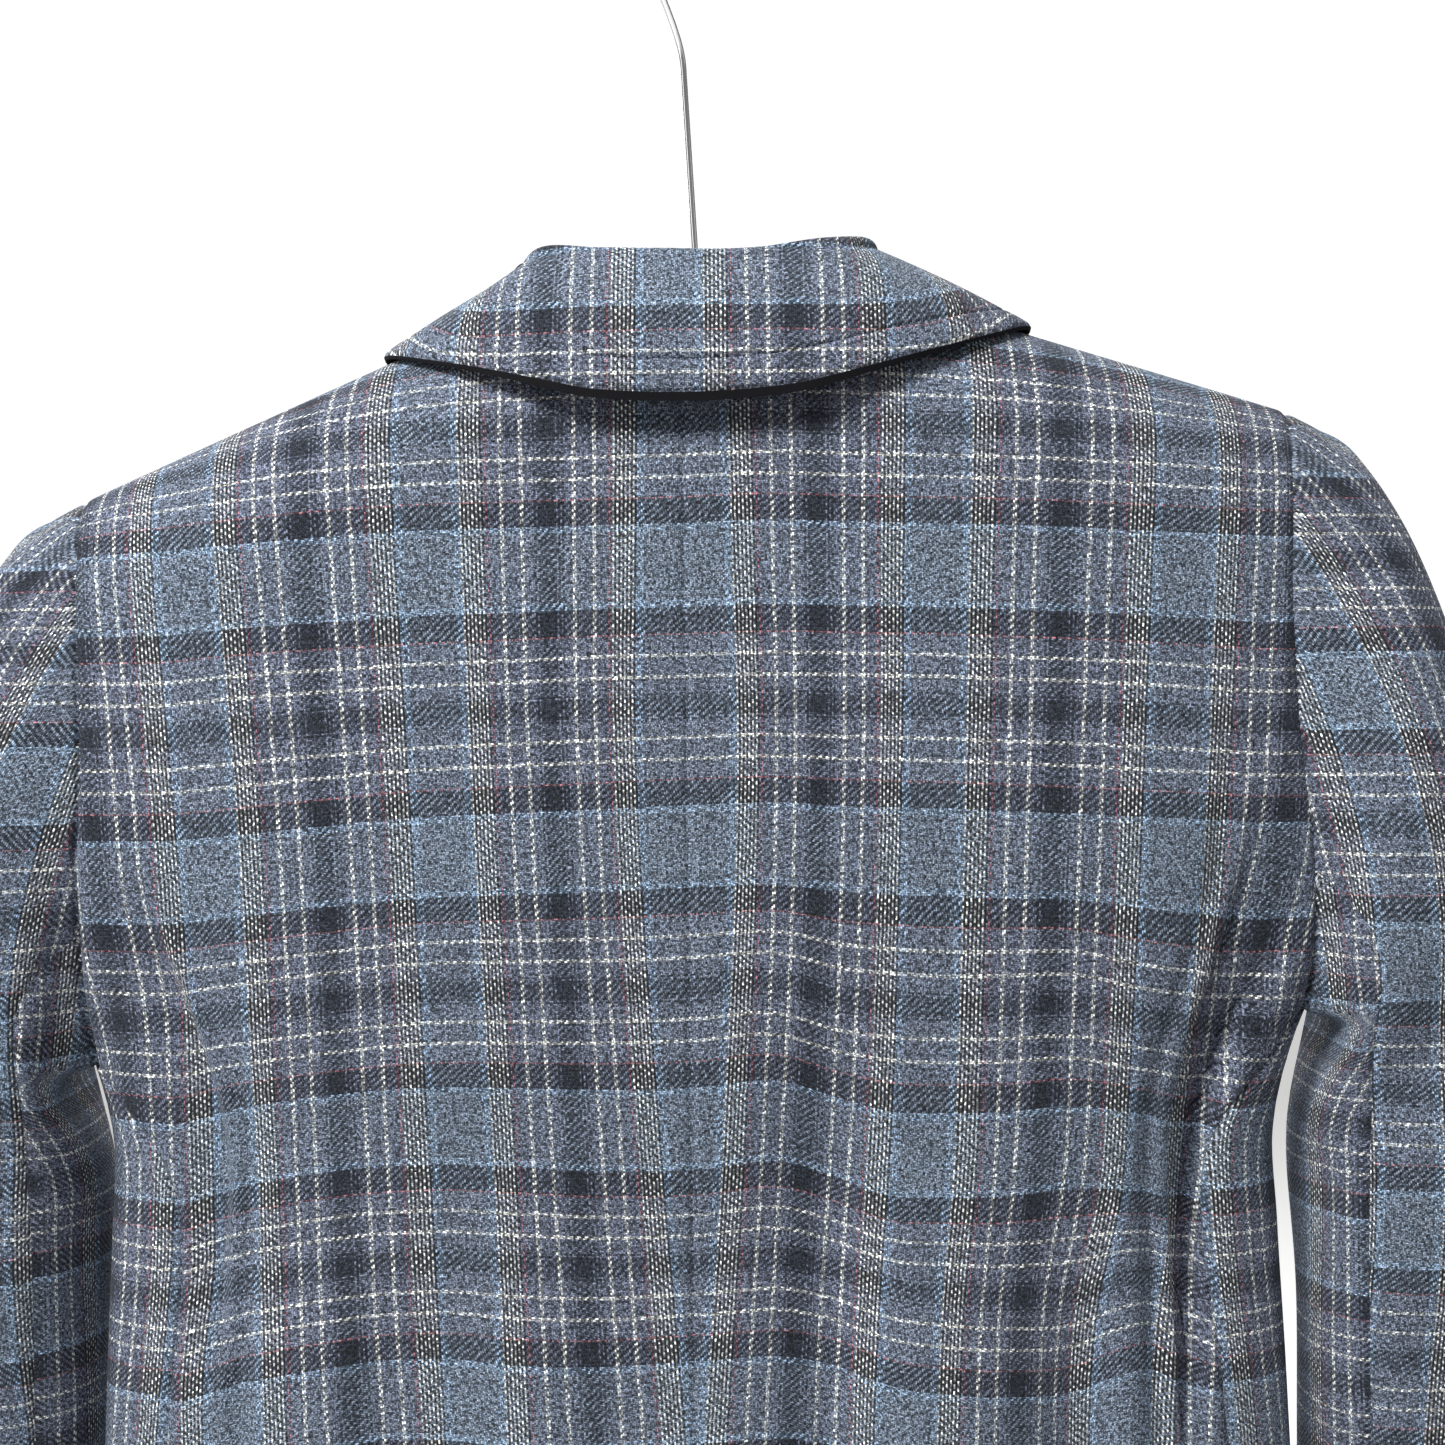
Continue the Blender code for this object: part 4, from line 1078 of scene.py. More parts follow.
def down_of(fall):
    """The way down the cloth that falls so far below the ridge."""
    angle = np.arccos(1 - np.clip(fall / SHOULDER_ROUND, 0, 1))
    return angle / (math.pi / 2) * ROUND_PATH + np.maximum(fall - SHOULDER_ROUND, 0)


def relief(turn, drop, side, folds=FOLDS, fade=FOLD_FADE):
    """How far the folds move the cloth out: each rises, holds and fades on its way down."""
    total = 0.0
    for fold in folds:
        if fold.side != side:
            continue
        t = (drop - fold.top) / (fold.low - fold.top)
        middle = fold.top_turn + (fold.low_turn - fold.top_turn) * t
        strength = smooth_step(0.0, fade.risen, t) * (1 - smooth_step(fade.falls, fade.gone, t))
        total = total + fold.depth * strength * np.exp(-((turn - middle) / fold.width) ** 2)
    return total


def layer(across, turn, side):
    """The two fronts lie on each other near the centre front."""
    near = 1 - smooth_step(0.030, 0.070, across)
    return LAYER[side] * near * (turn > 1)


def body_point(turn, down, side):
    """A point of the cloth's outer face, as an array of x, y and z."""
    turn, down = np.broadcast_arrays(np.asarray(turn, float), np.asarray(down, float))
    wide, deep = along_section(turn)
    rounding = np.sin(np.clip(down / ROUND_PATH, -1, 1) * math.pi / 2)
    fall = fall_of(down)
    drop = np.full_like(fall, 0.1)
    for _ in range(6):
        across = read(SECTIONS, "half_width", drop) * wide
        drop = ridge_drop(across, side) + fall
    back = read(SECTIONS, "back_depth", drop)
    front = read(SECTIONS, "front_depth", drop)
    depth = np.where(deep >= 0, back, front)
    out_x = np.sign(wide) * np.abs(wide) ** (ROUNDNESS - 1) / read(SECTIONS, "half_width", drop)
    out_y = np.sign(deep) * np.abs(deep) ** (ROUNDNESS - 1) / depth
    length = np.hypot(out_x, out_y)
    moved = relief(turn, drop, side) + layer(across, turn, side)
    across = across + moved * out_x / length
    y = depth * deep * rounding + moved * out_y / length * np.abs(rounding)
    return np.stack([CENTRE_X + side * across, y, NAPE_Z - drop], axis=-1)


def body_normal(turn, down, side):
    """The outward direction of the cloth at a place on the body."""
    step = PROBE / 4
    across = body_point(turn + step, down, side) - body_point(turn - step, down, side)
    below = body_point(turn, down + step, side) - body_point(turn, down - step, side)
    return unit(np.cross(across, below)) * side


def edge_turn(down, side, column):
    """The turn of the side seam, or of the armhole above it."""
    below = down - UNDERARM_DOWN[side]
    armhole = read(ARMHOLE, column, np.clip(down / UNDERARM_DOWN[side], 0, 1))
    return np.where(below < 0, armhole, read(SIDE_SEAM, "turn", below))


def hem_down(turn, side):
    """The way down to the hem at a turn."""
    wide, _ = along_section(turn)
    across = SECTIONS[-1].half_width * np.abs(wide)
    return down_of(HEM_DROP - ridge_drop(across, side))


def neck_down(across, side):
    """The way down to the back neck curve, which ends on the shoulder ridge."""
    neck_point = ridge_drop(NECK_HALF, side)
    curve = neck_point * np.clip(across / NECK_HALF, 0, 1) ** NECK_CURVE
    return down_of(np.maximum(curve - ridge_drop(across, side), 0))


def directions(points, axis=0):
    """The way from point to point: at each one, the mean of the two ways that meet there."""
    ways = unit(np.diff(points, axis=axis))
    first = np.take(ways, [0], axis=axis)
    last = np.take(ways, [-1], axis=axis)
    return unit(np.concatenate([first, ways], axis=axis) + np.concatenate([ways, last], axis=axis))


def back_place(side):
    """The back panel: u from the centre seam to the side, v from the hem up."""
    half_width = SECTIONS[0].half_width

    def place(u, v):
        top_turn = u * SHOULDER_TURN
        across = half_width * along_section(top_turn)[0]
        top = neck_down(np.maximum(across, 0), side) + SEAM / 2
        low = hem_down(u * SIDE_SEAM[-1].turn, side)
        down = top + (low - top) * (1 - v)
        side_low = hem_down(SIDE_SEAM[-1].turn, side)
        outer_down = SEAM / 2 + (side_low - SEAM / 2) * (1 - v)
        turn = u * (edge_turn(outer_down, side, "back_turn") - SIDE_GAP)
        return turn + SEAM / 2 / half_width, down

    return place


def roll_across(down):
    """The roll line, from the neck point to the break, and the front edge below it."""
    share = np.clip(down / BREAK_DOWN, None, 1)
    return NECK_HALF - (NECK_HALF + OVERLAP) * share


def front_place(side):
    """The front panel: u from the side to the roll line or front edge, v from the hem up."""
    side_low = hem_down(SIDE_SEAM[-1].turn, side)
    edge_low_turn = 2 + turn_at(OVERLAP, SECTIONS[-1].half_width)
    edge_low = hem_down(edge_low_turn, side)

    def place(u, v):
        side_down = SEAM / 2 + (side_low - SEAM / 2) * (1 - v)
        edge_down = SEAM / 2 + (edge_low - SEAM / 2) * (1 - v)
        outer = edge_turn(side_down, side, "front_turn") + SIDE_GAP
        across = roll_across(edge_down)
        drop = ridge_drop(across, side) + fall_of(edge_down)
        inner = 2 - turn_at(across, read(SECTIONS, "half_width", drop))
        turn = outer + (inner - outer) * u
        low = hem_down(SIDE_SEAM[-1].turn + (edge_low_turn - SIDE_SEAM[-1].turn) * u, side)
        return turn, SEAM / 2 + (low - SEAM / 2) * (1 - v)

    return place


def neck_share():
    """The share of the back's width, from the centre, that the neck curve takes."""
    return float(turn_at(NECK_HALF, SECTIONS[0].half_width) / SHOULDER_TURN)


def collar_end(side):
    """The outer corner of the collar on the front, as across and down."""
    return np.array([COLLAR_REACH[side] + COLLAR_END_OUT, COLLAR_END_DOWN])


def lapel_place(p, q, side):
    """A place of the lapel on the front: p up the roll line, q out to its edge."""
    top = gorge_down(side) + COLLAR_SEAM
    low = BREAK_DOWN * LOW_END[side]
    roll_down = low + (top - low) * p
    roll = np.stack([roll_across(roll_down), roll_down], axis=-1)
    tip = collar_end(side) + np.array(LAPEL_TIP)
    end = np.array([roll_across(low) + 0.004, low + 0.002])
    belly = LAPEL_BELLY * np.sin(math.pi * p)
    edge = end + (tip - end) * p[..., None]
    edge[..., 0] += belly
    flat = roll + (edge - roll) * q[..., None]
    start = np.array([float(roll_across(top)), top])
    point = collar_end(side) + np.array([0.0, COLLAR_SEAM])
    corner = start + (point - start) * NOTCH_SHARE
    gorge = start + (corner - start) * np.clip(q / NOTCH_SHARE, 0, 1)[..., None]
    rest = np.clip((q - NOTCH_SHARE) / (1 - NOTCH_SHARE), 0, 1)[..., None]
    notched = np.where(q[..., None] < NOTCH_SHARE, gorge, corner + (tip - corner) * rest)
    straight = start + (tip - start) * q[..., None]
    return flat + (notched - straight) * (p ** 8)[..., None]


def front_turn(place, side):
    """The turn of a place on the front that is given as across and down."""
    across, down = place[..., 0], place[..., 1]
    drop = ridge_drop(across, side) + fall_of(down)
    return 2 - turn_at(across, read(SECTIONS, "half_width", drop))


def collar_edge(ways, side):
    """The turn and down of the body under the collar's outer edge."""
    reach = COLLAR_REACH[side]
    back_share = np.clip(ways / 0.5, 0, 1)
    front_share = np.clip((ways - 0.5) / 0.5, 0, 1)
    across = reach * back_share + COLLAR_END_OUT * front_share
    fall = COLLAR_DROP - COLLAR_RISE[side] * across**2 - ridge_drop(across, side)
    back_down = down_of(np.maximum(fall, 0))
    down = np.where(ways < 0.5, back_down, COLLAR_END_DOWN * front_share)
    drop = ridge_drop(across, side) + fall_of(down)
    turn = turn_at(across, read(SECTIONS, "half_width", drop))
    return np.where(ways < 0.5, turn, 2 - turn), down


def between(rings, at):
    """A ring or a point between the given ones, on smooth curves through them."""
    index = int(min(max(math.floor(at), 0), len(rings) - 2))
    t = at - index
    before = rings[max(index - 1, 0)]
    start, end = rings[index], rings[index + 1]
    after = rings[min(index + 2, len(rings) - 1)]
    slope_start = (end - before) / 2
    slope_end = (after - start) / 2
    return (
        (2 * t**3 - 3 * t**2 + 1) * start
        + (t**3 - 2 * t**2 + t) * slope_start
        + (3 * t**2 - 2 * t**3) * end
        + (t**3 - t**2) * slope_end
    )


def ring_normals(grid, side):
    """The outward directions of a tube given by its rings."""
    around = np.roll(grid, -1, axis=1) - np.roll(grid, 1, axis=1)
    along = np.gradient(grid, axis=0)
    return unit(np.cross(along, around)) * side


def sleeve_relief(stations, shares):
    """How far the sleeve's folds move its cloth out."""
    total = np.zeros((len(stations), len(shares)))
    for fold in SLEEVE_FOLDS + SMALL_SLEEVE_FOLDS:
        near_ring = np.exp(-((stations - fold.ring) / fold.length) ** 2)
        away = np.abs((shares - fold.share + 0.5) % 1.0 - 0.5)
        total += fold.depth * near_ring[:, None] * np.exp(-(away / fold.width) ** 2)[None, :]
    return total


def hanger_top(x, side):
    """The height of the hanger's upper edge, just under the cloth of the shoulders."""
    across = abs(x - CENTRE_X)
    dip = HANGER_CENTRE_DIP * math.exp(-(across / HANGER_DIP_REACH) ** 2)
    return NAPE_Z - float(ridge_drop(across, side)) - HANGER_CLEAR - dip


def hook_points():
    """The middle of the hook's wire, from the foot of its stem to its free end."""
    centre_height = -HOOK_RADIUS + WIRE_RADIUS
    swing_foot = centre_height - HOOK_SWING
    foot = hanger_top(HOOK_FOOT_X, RIGHT) + HOOK_LIFT
    points = [(0.0, foot)]
    points += [(0.0, foot + (swing_foot - foot) * t) for t in STEM_PLACES]
    for j in range(SWING_STEPS):
        t = j / SWING_STEPS
        points.append((HOOK_RADIUS * t * t * (3 - 2 * t), swing_foot + HOOK_SWING * t))
    for j in range(HOOK_STEPS + 1):
        angle = HOOK_END * j / HOOK_STEPS
        points.append((HOOK_RADIUS * math.cos(angle), centre_height + HOOK_RADIUS * math.sin(angle)))
    turned = Matrix.Rotation(HOOK_TURN, 4, "Z")
    tilted = Matrix.Rotation(HANGER_TILT, 4, "Y")
    return [tilted @ turned @ Vector((across, 0.0, height)) for across, height in points]


def armhole_ring(side, cells):
    """The body's armhole edge as a ring: outer points and inner points, moved into the hole."""
    side_low = hem_down(SIDE_SEAM[-1].turn, side)
    ways = UNDERARM_DOWN[side] * (1 - np.cos(math.pi * np.arange(cells + 1) / cells)) / 2
    rows = np.clip(1 - (ways - SEAM / 2) / (side_low - SEAM / 2), 0, 1)
    outer, inner = [], []
    step = PROBE
    for place, u, sign, order in (
        (back_place(side), 1.0, 1, rows),
        (front_place(side), 0.0, -1, rows[1:-1][::-1]),
    ):
        u = np.full_like(order, u)
        turn, down = place(u, order)
        point = body_point(turn, down, side)
        normal = body_normal(turn, down, side)
        beyond = body_point(*place(u + step, order), side)
        before = body_point(*place(u - step, order), side)
        above = body_point(*place(u, order + step), side)
        below = body_point(*place(u, order - step), side)
        out = unit(beyond - before) * sign
        way = unit(above - below)
        out = unit(out - way * np.sum(out * way, axis=-1, keepdims=True))
        outer.append(point + out * SEAM)
        inner.append(point - normal * CLOTH + out * SEAM)
    return np.concatenate(outer), np.concatenate(inner)


def sleeve_rings(side, cells):
    """The sleeve's rings, the first one at the armhole."""
    start, start_inner = armhole_ring(side, cells)
    count = len(start)
    shoulder = start[0]
    underarm = start[cells]
    rings = [start]
    angles = np.array([2 * math.pi * j / count for j in range(count)])
    body_side = read(SECTIONS, "half_width", NAPE_Z - underarm[2])
    low_share = ((1 - np.cos(angles)) / 2) ** 4
    for ring in SLEEVE_RINGS:
        outer = np.array([shoulder[0] + side * ring.outer_out, -ring.forward, shoulder[2] - ring.outer_fall])
        inner_x = CENTRE_X + side * (body_side + ring.inner_out)
        inner = np.array([inner_x, -ring.forward, underarm[2] - ring.inner_fall])
        centre = (outer + inner) / 2
        reach = (outer - inner) / 2
        power = 2 / SLEEVE_ROUNDNESS
        long_way = np.sign(np.cos(angles)) * np.abs(np.cos(angles)) ** power
        across = np.sign(np.sin(angles)) * np.abs(np.sin(angles)) ** power
        points = centre + reach * long_way[:, None]
        points[:, 1] += ring.half_depth * across
        points[:, 1] += underarm[1] * low_share * (1 - smooth_step(0.0, 0.04, ring.inner_fall))
        rings.append(points)
    leaving = start + (rings[1] - start) * ARMHOLE_SHARE + np.array([side * ARMHOLE_STEP, 0, 0])
    rings.insert(1, leaving)
    return np.array(rings), start_inner


def gorge_down(side):
    """The way down the roll line to where the collar meets the lapel."""
    side_low = hem_down(SIDE_SEAM[-1].turn, side)
    way = UNDERARM_DOWN[side] * (1 - math.cos(math.pi * GORGE_ROW / ARMHOLE_ROWS)) / 2
    _, down = front_place(side)(np.array(1.0), 1 - (way - SEAM / 2) / (side_low - SEAM / 2))
    return float(down)


def shares(cells, length, start=True, end=True):
    """Shares of a length, even but for places close to its ends, where an edge rolls."""
    even = list(np.linspace(0, 1, cells + 1))
    if start:
        even += [place / length for place in EDGE_PLACES]
    if end:
        even += [1 - place / length for place in EDGE_PLACES]
    return np.array(sorted(set(even)))


def arc_along(points, axis):
    """The way along a grid's rows or columns, from its first point."""
    steps = np.linalg.norm(np.diff(points, axis=axis), axis=-1)
    start = np.zeros_like(np.take(steps, [0], axis=axis))
    return np.concatenate([start, np.cumsum(steps, axis=axis)], axis=axis)


def rolled(points, normals, dips):
    """Let the edges of a grid roll in: dips are for its first and last row and column."""
    down_way = arc_along(points, 0)
    across_way = arc_along(points, 1)
    ways = (down_way, down_way[-1:] - down_way, across_way, across_way[:, -1:] - across_way)
    total = np.zeros(points.shape[:2])
    for way, dip in zip(ways, dips):
        if dip:
            total = total + dip.deep * np.exp(-(way / dip.reach) ** 2)
    return points - normals * np.minimum(total, CLOTH * 0.8)[..., None]


def body_cloth(turn, down, side):
    """The outer points and directions of a grid on the body, with its small folds."""
    points = body_point(turn, down, side)
    normals = body_normal(turn, down, side)
    moved = relief(turn, NAPE_Z - points[..., 2], side, SMALL_FOLDS, SMALL_FADE)
    ways = unit(normals * FOLD_WAY)
    points = points + ways * moved[..., None]
    return points, normals


def wall_of_cloth(name, outer, inner, chart, slots=("cloth",), under=0):
    """A closed wall between two grids, whose faces carry the cloth's own map."""
    rows, columns = outer.shape[:2]
    points = np.concatenate([outer.reshape(-1, 3), inner.reshape(-1, 3)])
    number = np.arange(rows * columns).reshape(rows, columns)
    back = number + rows * columns
    over = np.zeros_like(chart)
    over[0] = unit(chart[0] - chart[1]) * CLOTH
    over[-1] = unit(chart[-1] - chart[-2]) * CLOTH
    over[:, 0] += unit(chart[:, 0] - chart[:, 1]) * CLOTH
    over[:, -1] += unit(chart[:, -1] - chart[:, -2]) * CLOTH
    flat = chart.reshape(-1, 2)
    turned = (chart + over).reshape(-1, 2)
    quads, maps, kinds = [], [], []

    def add(corners, places, kind):
        quads.append(np.stack(corners, axis=-1).reshape(-1, 4))
        maps.append(np.stack(places, axis=-2).reshape(-1, 4, 2))
        kinds.append(np.full(corners[0].size, kind))

    face = (number[:-1, :-1], number[:-1, 1:], number[1:, 1:], number[1:, :-1])
    add(face, [flat[c] for c in face], 0)
    hidden = (number[:-1, :-1], number[1:, :-1], number[1:, 1:], number[:-1, 1:])
    add([c + rows * columns for c in hidden], [flat[c] for c in hidden], under)
    for first, second, other in (
        (number[0, 1:], number[0, :-1], under),
        (number[-1, :-1], number[-1, 1:], under),
        (number[:-1, 0], number[1:, 0], under),
        (number[1:, -1], number[:-1, -1], under),
    ):
        corners = (first, second, second + rows * columns, first + rows * columns)
        add(corners, [flat[first], flat[second], turned[second], turned[first]], other)
    quads, maps, kinds = np.concatenate(quads), np.concatenate(maps), np.concatenate(kinds)
    a, b, c, d = (points[quads[:, k]] for k in range(4))
    volume = np.sum(a * np.cross(b, c)) + np.sum(a * np.cross(c, d))
    if volume < 0:
        quads, maps = quads[:, ::-1], maps[:, ::-1]
    mesh = bpy.data.meshes.new(name)
    mesh.from_pydata(points.tolist(), [], quads.tolist())
    layer_made = mesh.uv_layers.new(name="cloth")
    layer_made.data.foreach_set("uv", maps.reshape(-1).astype(np.float32))
    mesh.polygons.foreach_set("material_index", kinds.astype(np.int32))
    finishes = {"cloth": cloth_finish, "felt": felt_and_shade_finish}
    for slot in slots:
        mesh.materials.append(finishes[slot]())
    mesh.shade_smooth()
    mesh.set_sharp_from_angle(angle=math.radians(62))
    mesh.update()
    piece = bpy.data.objects.new(name, mesh)
    bpy.context.scene.collection.objects.link(piece)
    return piece


def area_of(points):
    """The area of a grid of points."""
    first = np.cross(points[:-1, 1:] - points[:-1, :-1], points[1:, :-1] - points[:-1, :-1])
    second = np.cross(points[1:, :-1] - points[1:, 1:], points[:-1, 1:] - points[1:, 1:])
    return float((np.linalg.norm(first, axis=-1).sum() + np.linalg.norm(second, axis=-1).sum()) / 2)


def settle(piece, node, outer):
    """Put a piece of cloth in the place of its solid, and hide the solid. The width, length and area of its
    cut are worked out, but not used.
    """
    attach(piece, "root")
    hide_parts(node)
    width = float(arc_along(outer, 1)[:, -1].max())
    length = float(arc_along(outer, 0)[-1].max())
    area = min(area_of(outer), width * length)


def level_arc(turn, down, side, start=0.0, steps=60):
    """The level way along the cloth from a turn to each place of a grid."""
    share = np.linspace(0, 1, steps + 1)
    turns = start + (turn[..., None] - start) * share
    points = body_point(turns, down[..., None], side)
    return np.hypot(np.diff(points[..., 0]), np.diff(points[..., 1])).sum(axis=-1)


def cloth_level(points_across, down, side):
    """How far below the nape a place of the cloth hangs, along the cloth."""
    return ridge_drop(points_across, side) + down - (ROUND_PATH - SHOULDER_ROUND)


def back_sag(across, drop):
    """How far the crosswise lines sag at a place of the back."""
    columns = np.stack([read(SAGS, name, across) for name in SAG_DROPS], axis=-1)
    at = np.interp(drop, list(SAG_DROPS.values()), np.arange(len(SAG_DROPS)))
    low = np.clip(np.floor(at).astype(int), 0, len(SAG_DROPS) - 2)
    part = at - low
    part = part * part * (3 - 2 * part)
    first = np.take_along_axis(columns, low[..., None], axis=-1)[..., 0]
    second = np.take_along_axis(columns, low[..., None] + 1, axis=-1)[..., 0]
    return (first + (second - first) * part) / 1000


def back_map(turn, down, side):
    """The cloth's own map on the back."""
    points = body_point(turn, down, side)
    across = np.abs(points[..., 0] - CENTRE_X)
    drop = NAPE_Z - points[..., 2]
    arc = level_arc(turn, down, side) * 1000
    seam = read(BACK_CHART[side], "seam", drop)
    first = read(BACK_CHART[side], "first", drop)
    second = read(BACK_CHART[side], "second", drop)
    repeat = WARP_REPEAT * 1000
    near = seam + (repeat - seam) * arc / first
    middle = repeat + repeat * (arc - first) / (second - first)
    far = 2 * repeat + (arc - second)
    place = np.where(arc < first, near, np.where(arc < second, middle, far)) / 1000
    level = cloth_level(across, down, side) - back_sag(-side * across, drop)
    return np.stack([-side * place, BOX_DROP - level], axis=-1)


def front_map(turn, down, side):
    """The cloth's own map on the fronts, in step with the back at the side seam."""
    points = body_point(turn, down, side)
    across = np.abs(points[..., 0] - CENTRE_X)
    seam_down = down_of(FRONT_SEAM_DROP - ridge_drop(0.2, side))
    seam_turn = edge_turn(seam_down, side, "front_turn")
    to_seam = level_arc(np.atleast_1d(seam_turn), np.atleast_1d(seam_down), side, start=2.0)[0]
    place = FRONT_AT_SEAM + to_seam - level_arc(turn, down, side, start=2.0)
    level = cloth_level(across, down, side) - FRONT_LOWER
    return np.stack([-side * place, BOX_DROP - level], axis=-1)


def build_back(side):
    """One half of the back, cut with a centre seam."""
    u, v = np.meshgrid(shares(BACK_CELLS[0], 0.20), shares(BACK_CELLS[1], 0.54))
    turn, down = back_place(side)(u, v)
    points, normals = body_cloth(turn, down, side)
    outer = rolled(points, normals, (OPEN_EDGE, SEAM_DIP, SEAM_DIP, SEAM_DIP))
    name = "back_" + SIDE_NAMES[side]
    piece = wall_of_cloth(name + "_cloth", outer, points - normals * CLOTH, back_map(turn, down, side))
    settle(piece, name, points)


def build_front(side):
    """One front, from the side seam to the front edge and the roll line."""
    u, v = np.meshgrid(shares(FRONT_CELLS[0], 0.22), shares(FRONT_CELLS[1], 0.54))
    turn, down = front_place(side)(u, v)
    points, normals = body_cloth(turn, down, side)
    outer = rolled(points, normals, (OPEN_EDGE, SEAM_DIP, SEAM_DIP, ROLLED))
    name = "front_" + SIDE_NAMES[side]
    piece = wall_of_cloth(name + "_cloth", outer, points - normals * CLOTH, front_map(turn, down, side))
    settle(piece, name, points)


def build_lapel(side):
    """The lapel, folded back at the roll line and lying on the front."""
    q_places = sorted(set(list(shares(LAPEL_CELLS[0], 0.07)) + [NOTCH_SHARE]))
    q, p = np.meshgrid(q_places, shares(LAPEL_CELLS[1], 0.24))
    place = lapel_place(p, q, side)
    turn, down = front_turn(place, side), place[..., 1]
    seat = body_point(turn, down, side)
    normals = body_normal(turn, down, side)
    lift = LAPEL_GAP + LAPEL_LIFT * np.sin(math.pi * np.clip(q, 0, 1)) * smooth_step(0.0, 0.25, p)
    moved = relief(turn, NAPE_Z - seat[..., 2], side, SMALL_FOLDS, SMALL_FADE)
    seat = seat + normals * np.maximum(moved, 0)[..., None]
    points = seat + normals * (lift + CLOTH)[..., None]
    outer = rolled(points, normals, (OPEN_EDGE, OPEN_EDGE, ROLLED, OPEN_EDGE))
    low, tip = place[0, -1], place[-1, -1]
    along = (tip - low) / np.linalg.norm(tip - low)
    away = np.array([-along[1], along[0]])
    chart = np.stack([side * (place - tip) @ away, (place - tip) @ along], axis=-1)
    name = "lapel_" + SIDE_NAMES[side]
    inner = seat + normals * lift[..., None]
    piece = wall_of_cloth(name + "_cloth", outer, inner, chart)
    settle(piece, name, points)


def neck_seam(side):
    """The body's neck edge: its ways, outer points, outward directions and direction of travel."""
    back = neck_share() * np.sin(math.pi / 2 * np.arange(NECK_CELLS + 1) / NECK_CELLS) ** 0.9
    side_low = hem_down(SIDE_SEAM[-1].turn, side)
    gorge_way = UNDERARM_DOWN[side] * (1 - math.cos(math.pi * GORGE_ROW / ARMHOLE_ROWS)) / 2
    first_way = UNDERARM_DOWN[side] * (1 - math.cos(math.pi / ARMHOLE_ROWS)) / 2
    ways_down = np.concatenate([[first_way], np.linspace(first_way, gorge_way, GORGE_CELLS + 1)[1:]])
    front = 1 - (ways_down - SEAM / 2) / (side_low - SEAM / 2)
    back_turn, back_down = back_place(side)(back, np.ones_like(back))
    front_turns, front_down = front_place(side)(np.ones_like(front), front)
    ways = np.concatenate([0.5 * back / neck_share(), 0.5 + 0.5 * (1 - front) / (1 - front[-1])])
    turn = np.concatenate([back_turn, front_turns])
    down = np.concatenate([back_down, front_down])
    points = body_point(turn, down, side)
    tangents = directions(points)
    tangents[0] = (side, 0.0, 0.0)
    return ways, points, body_normal(turn, down, side), tangents


def collar_sections(side):
    """The collar's upper face: a row of points over the fold for each place round the neck."""
    ways, points, normals, tangents = neck_seam(side)
    inward = unit(np.cross(tangents, normals)) * side
    up = np.array([0.0, 0.0, 1.0])
    share = smooth_step(0.5, 0.8, ways)[:, None]
    crest = unit(up * (1 - share) + normals * share)
    crest = unit(crest - tangents * np.sum(crest * tangents, axis=1, keepdims=True))
    outward = unit(np.cross(crest, tangents)) * side
    height = read(STANDS[side], "height", ways)[:, None]
    lean = read(STANDS[side], "lean", ways)[:, None]
    base = points - normals * CLOTH + inward * COLLAR_SEAM
    middle = points - normals * CLOTH / 2
    fold = middle + crest * height - outward * lean
    turn, down = collar_edge(ways, side)
    stand_off = read(STAND_OFFS, "stand_off", ways)[:, None]
    stand_off = stand_off + EDGE_LIFT * (1 - smooth_step(0.15, 0.45, ways))[:, None]
    edge = body_point(turn, down, side) + body_normal(turn, down, side) * stand_off
    rows = []
    radius = read(STANDS[side], "radius", ways)[:, None]
    inner_foot = fold - outward * radius - crest * radius
    outer_foot = fold + outward * radius - crest * radius
    bend = base + inward * STAND_BEND
    fullness = 1 - (1 - SIDE_BELLY_SHARE) * smooth_step(0.3, 0.5, ways)[:, None]
    for t in np.linspace(0, 1, 10)[:-1]:
        rows.append(base * (1 - t) ** 2 + bend * 2 * t * (1 - t) + inner_foot * t**2)
    for angle in np.linspace(180, 0, 13):
        turned = math.radians(angle)
        arm = outward * math.cos(turned) + crest * math.sin(turned)
        rows.append(fold + (arm - crest) * radius)
    fold_top = 15
    falls = np.concatenate([shares(26, 0.04, start=False)[1:], np.linspace(0.68, 0.985, CREASE_PLACES)])
    for t in np.unique(falls):
        belly = FALL_BELLY * math.sin(math.pi * t) * fullness * (crest + outward)
        rows.append(outer_foot + (edge - outer_foot) * t + belly)
    return np.array(rows), base + normals * CLOTH, fold_top, ways


def collar_map(upper, arc, down_way, along, fold_top):
    """The cloth's own map on the collar: level and upright at the back, round the neck in front."""
    middle = upper.shape[1] // 2
    upright = 1 - smooth_step(*COLLAR_TURNS, along)
    weight = (upright[1:] + upright[:-1]) / 2
    steps = weight * np.diff(upper[..., 0], axis=1) + (1 - weight) * np.diff(arc, axis=1)
    across = np.concatenate([np.zeros_like(steps[:, :1]), np.cumsum(steps, axis=1)], axis=1)
    across = across - across[:, middle:middle + 1]
    fall = upper[fold_top:, middle]
    level = np.interp(-upper[..., 2], -fall[:, 2], down_way[fold_top:, middle])
    level = level + np.minimum(fall[0, 2] - upper[..., 2], 0) + np.maximum(fall[-1, 2] - upper[..., 2], 0)
    start = level[fold_top].copy()
    start[middle + NECK_CELLS:] = start[middle + NECK_CELLS]
    start[:middle - NECK_CELLS + 1] = start[middle - NECK_CELLS]
    round_neck = start + down_way
    level = upright * level + (1 - upright) * round_neck
    level = np.where(np.arange(len(upper))[:, None] < fold_top, round_neck, level)
    u = -(across - COLLAR_BOX_ACROSS) / COLLAR_STRETCH
    v = -(level - COLLAR_BOX_DOWN) / COLLAR_STRETCH
    return np.stack([u, v], axis=-1)


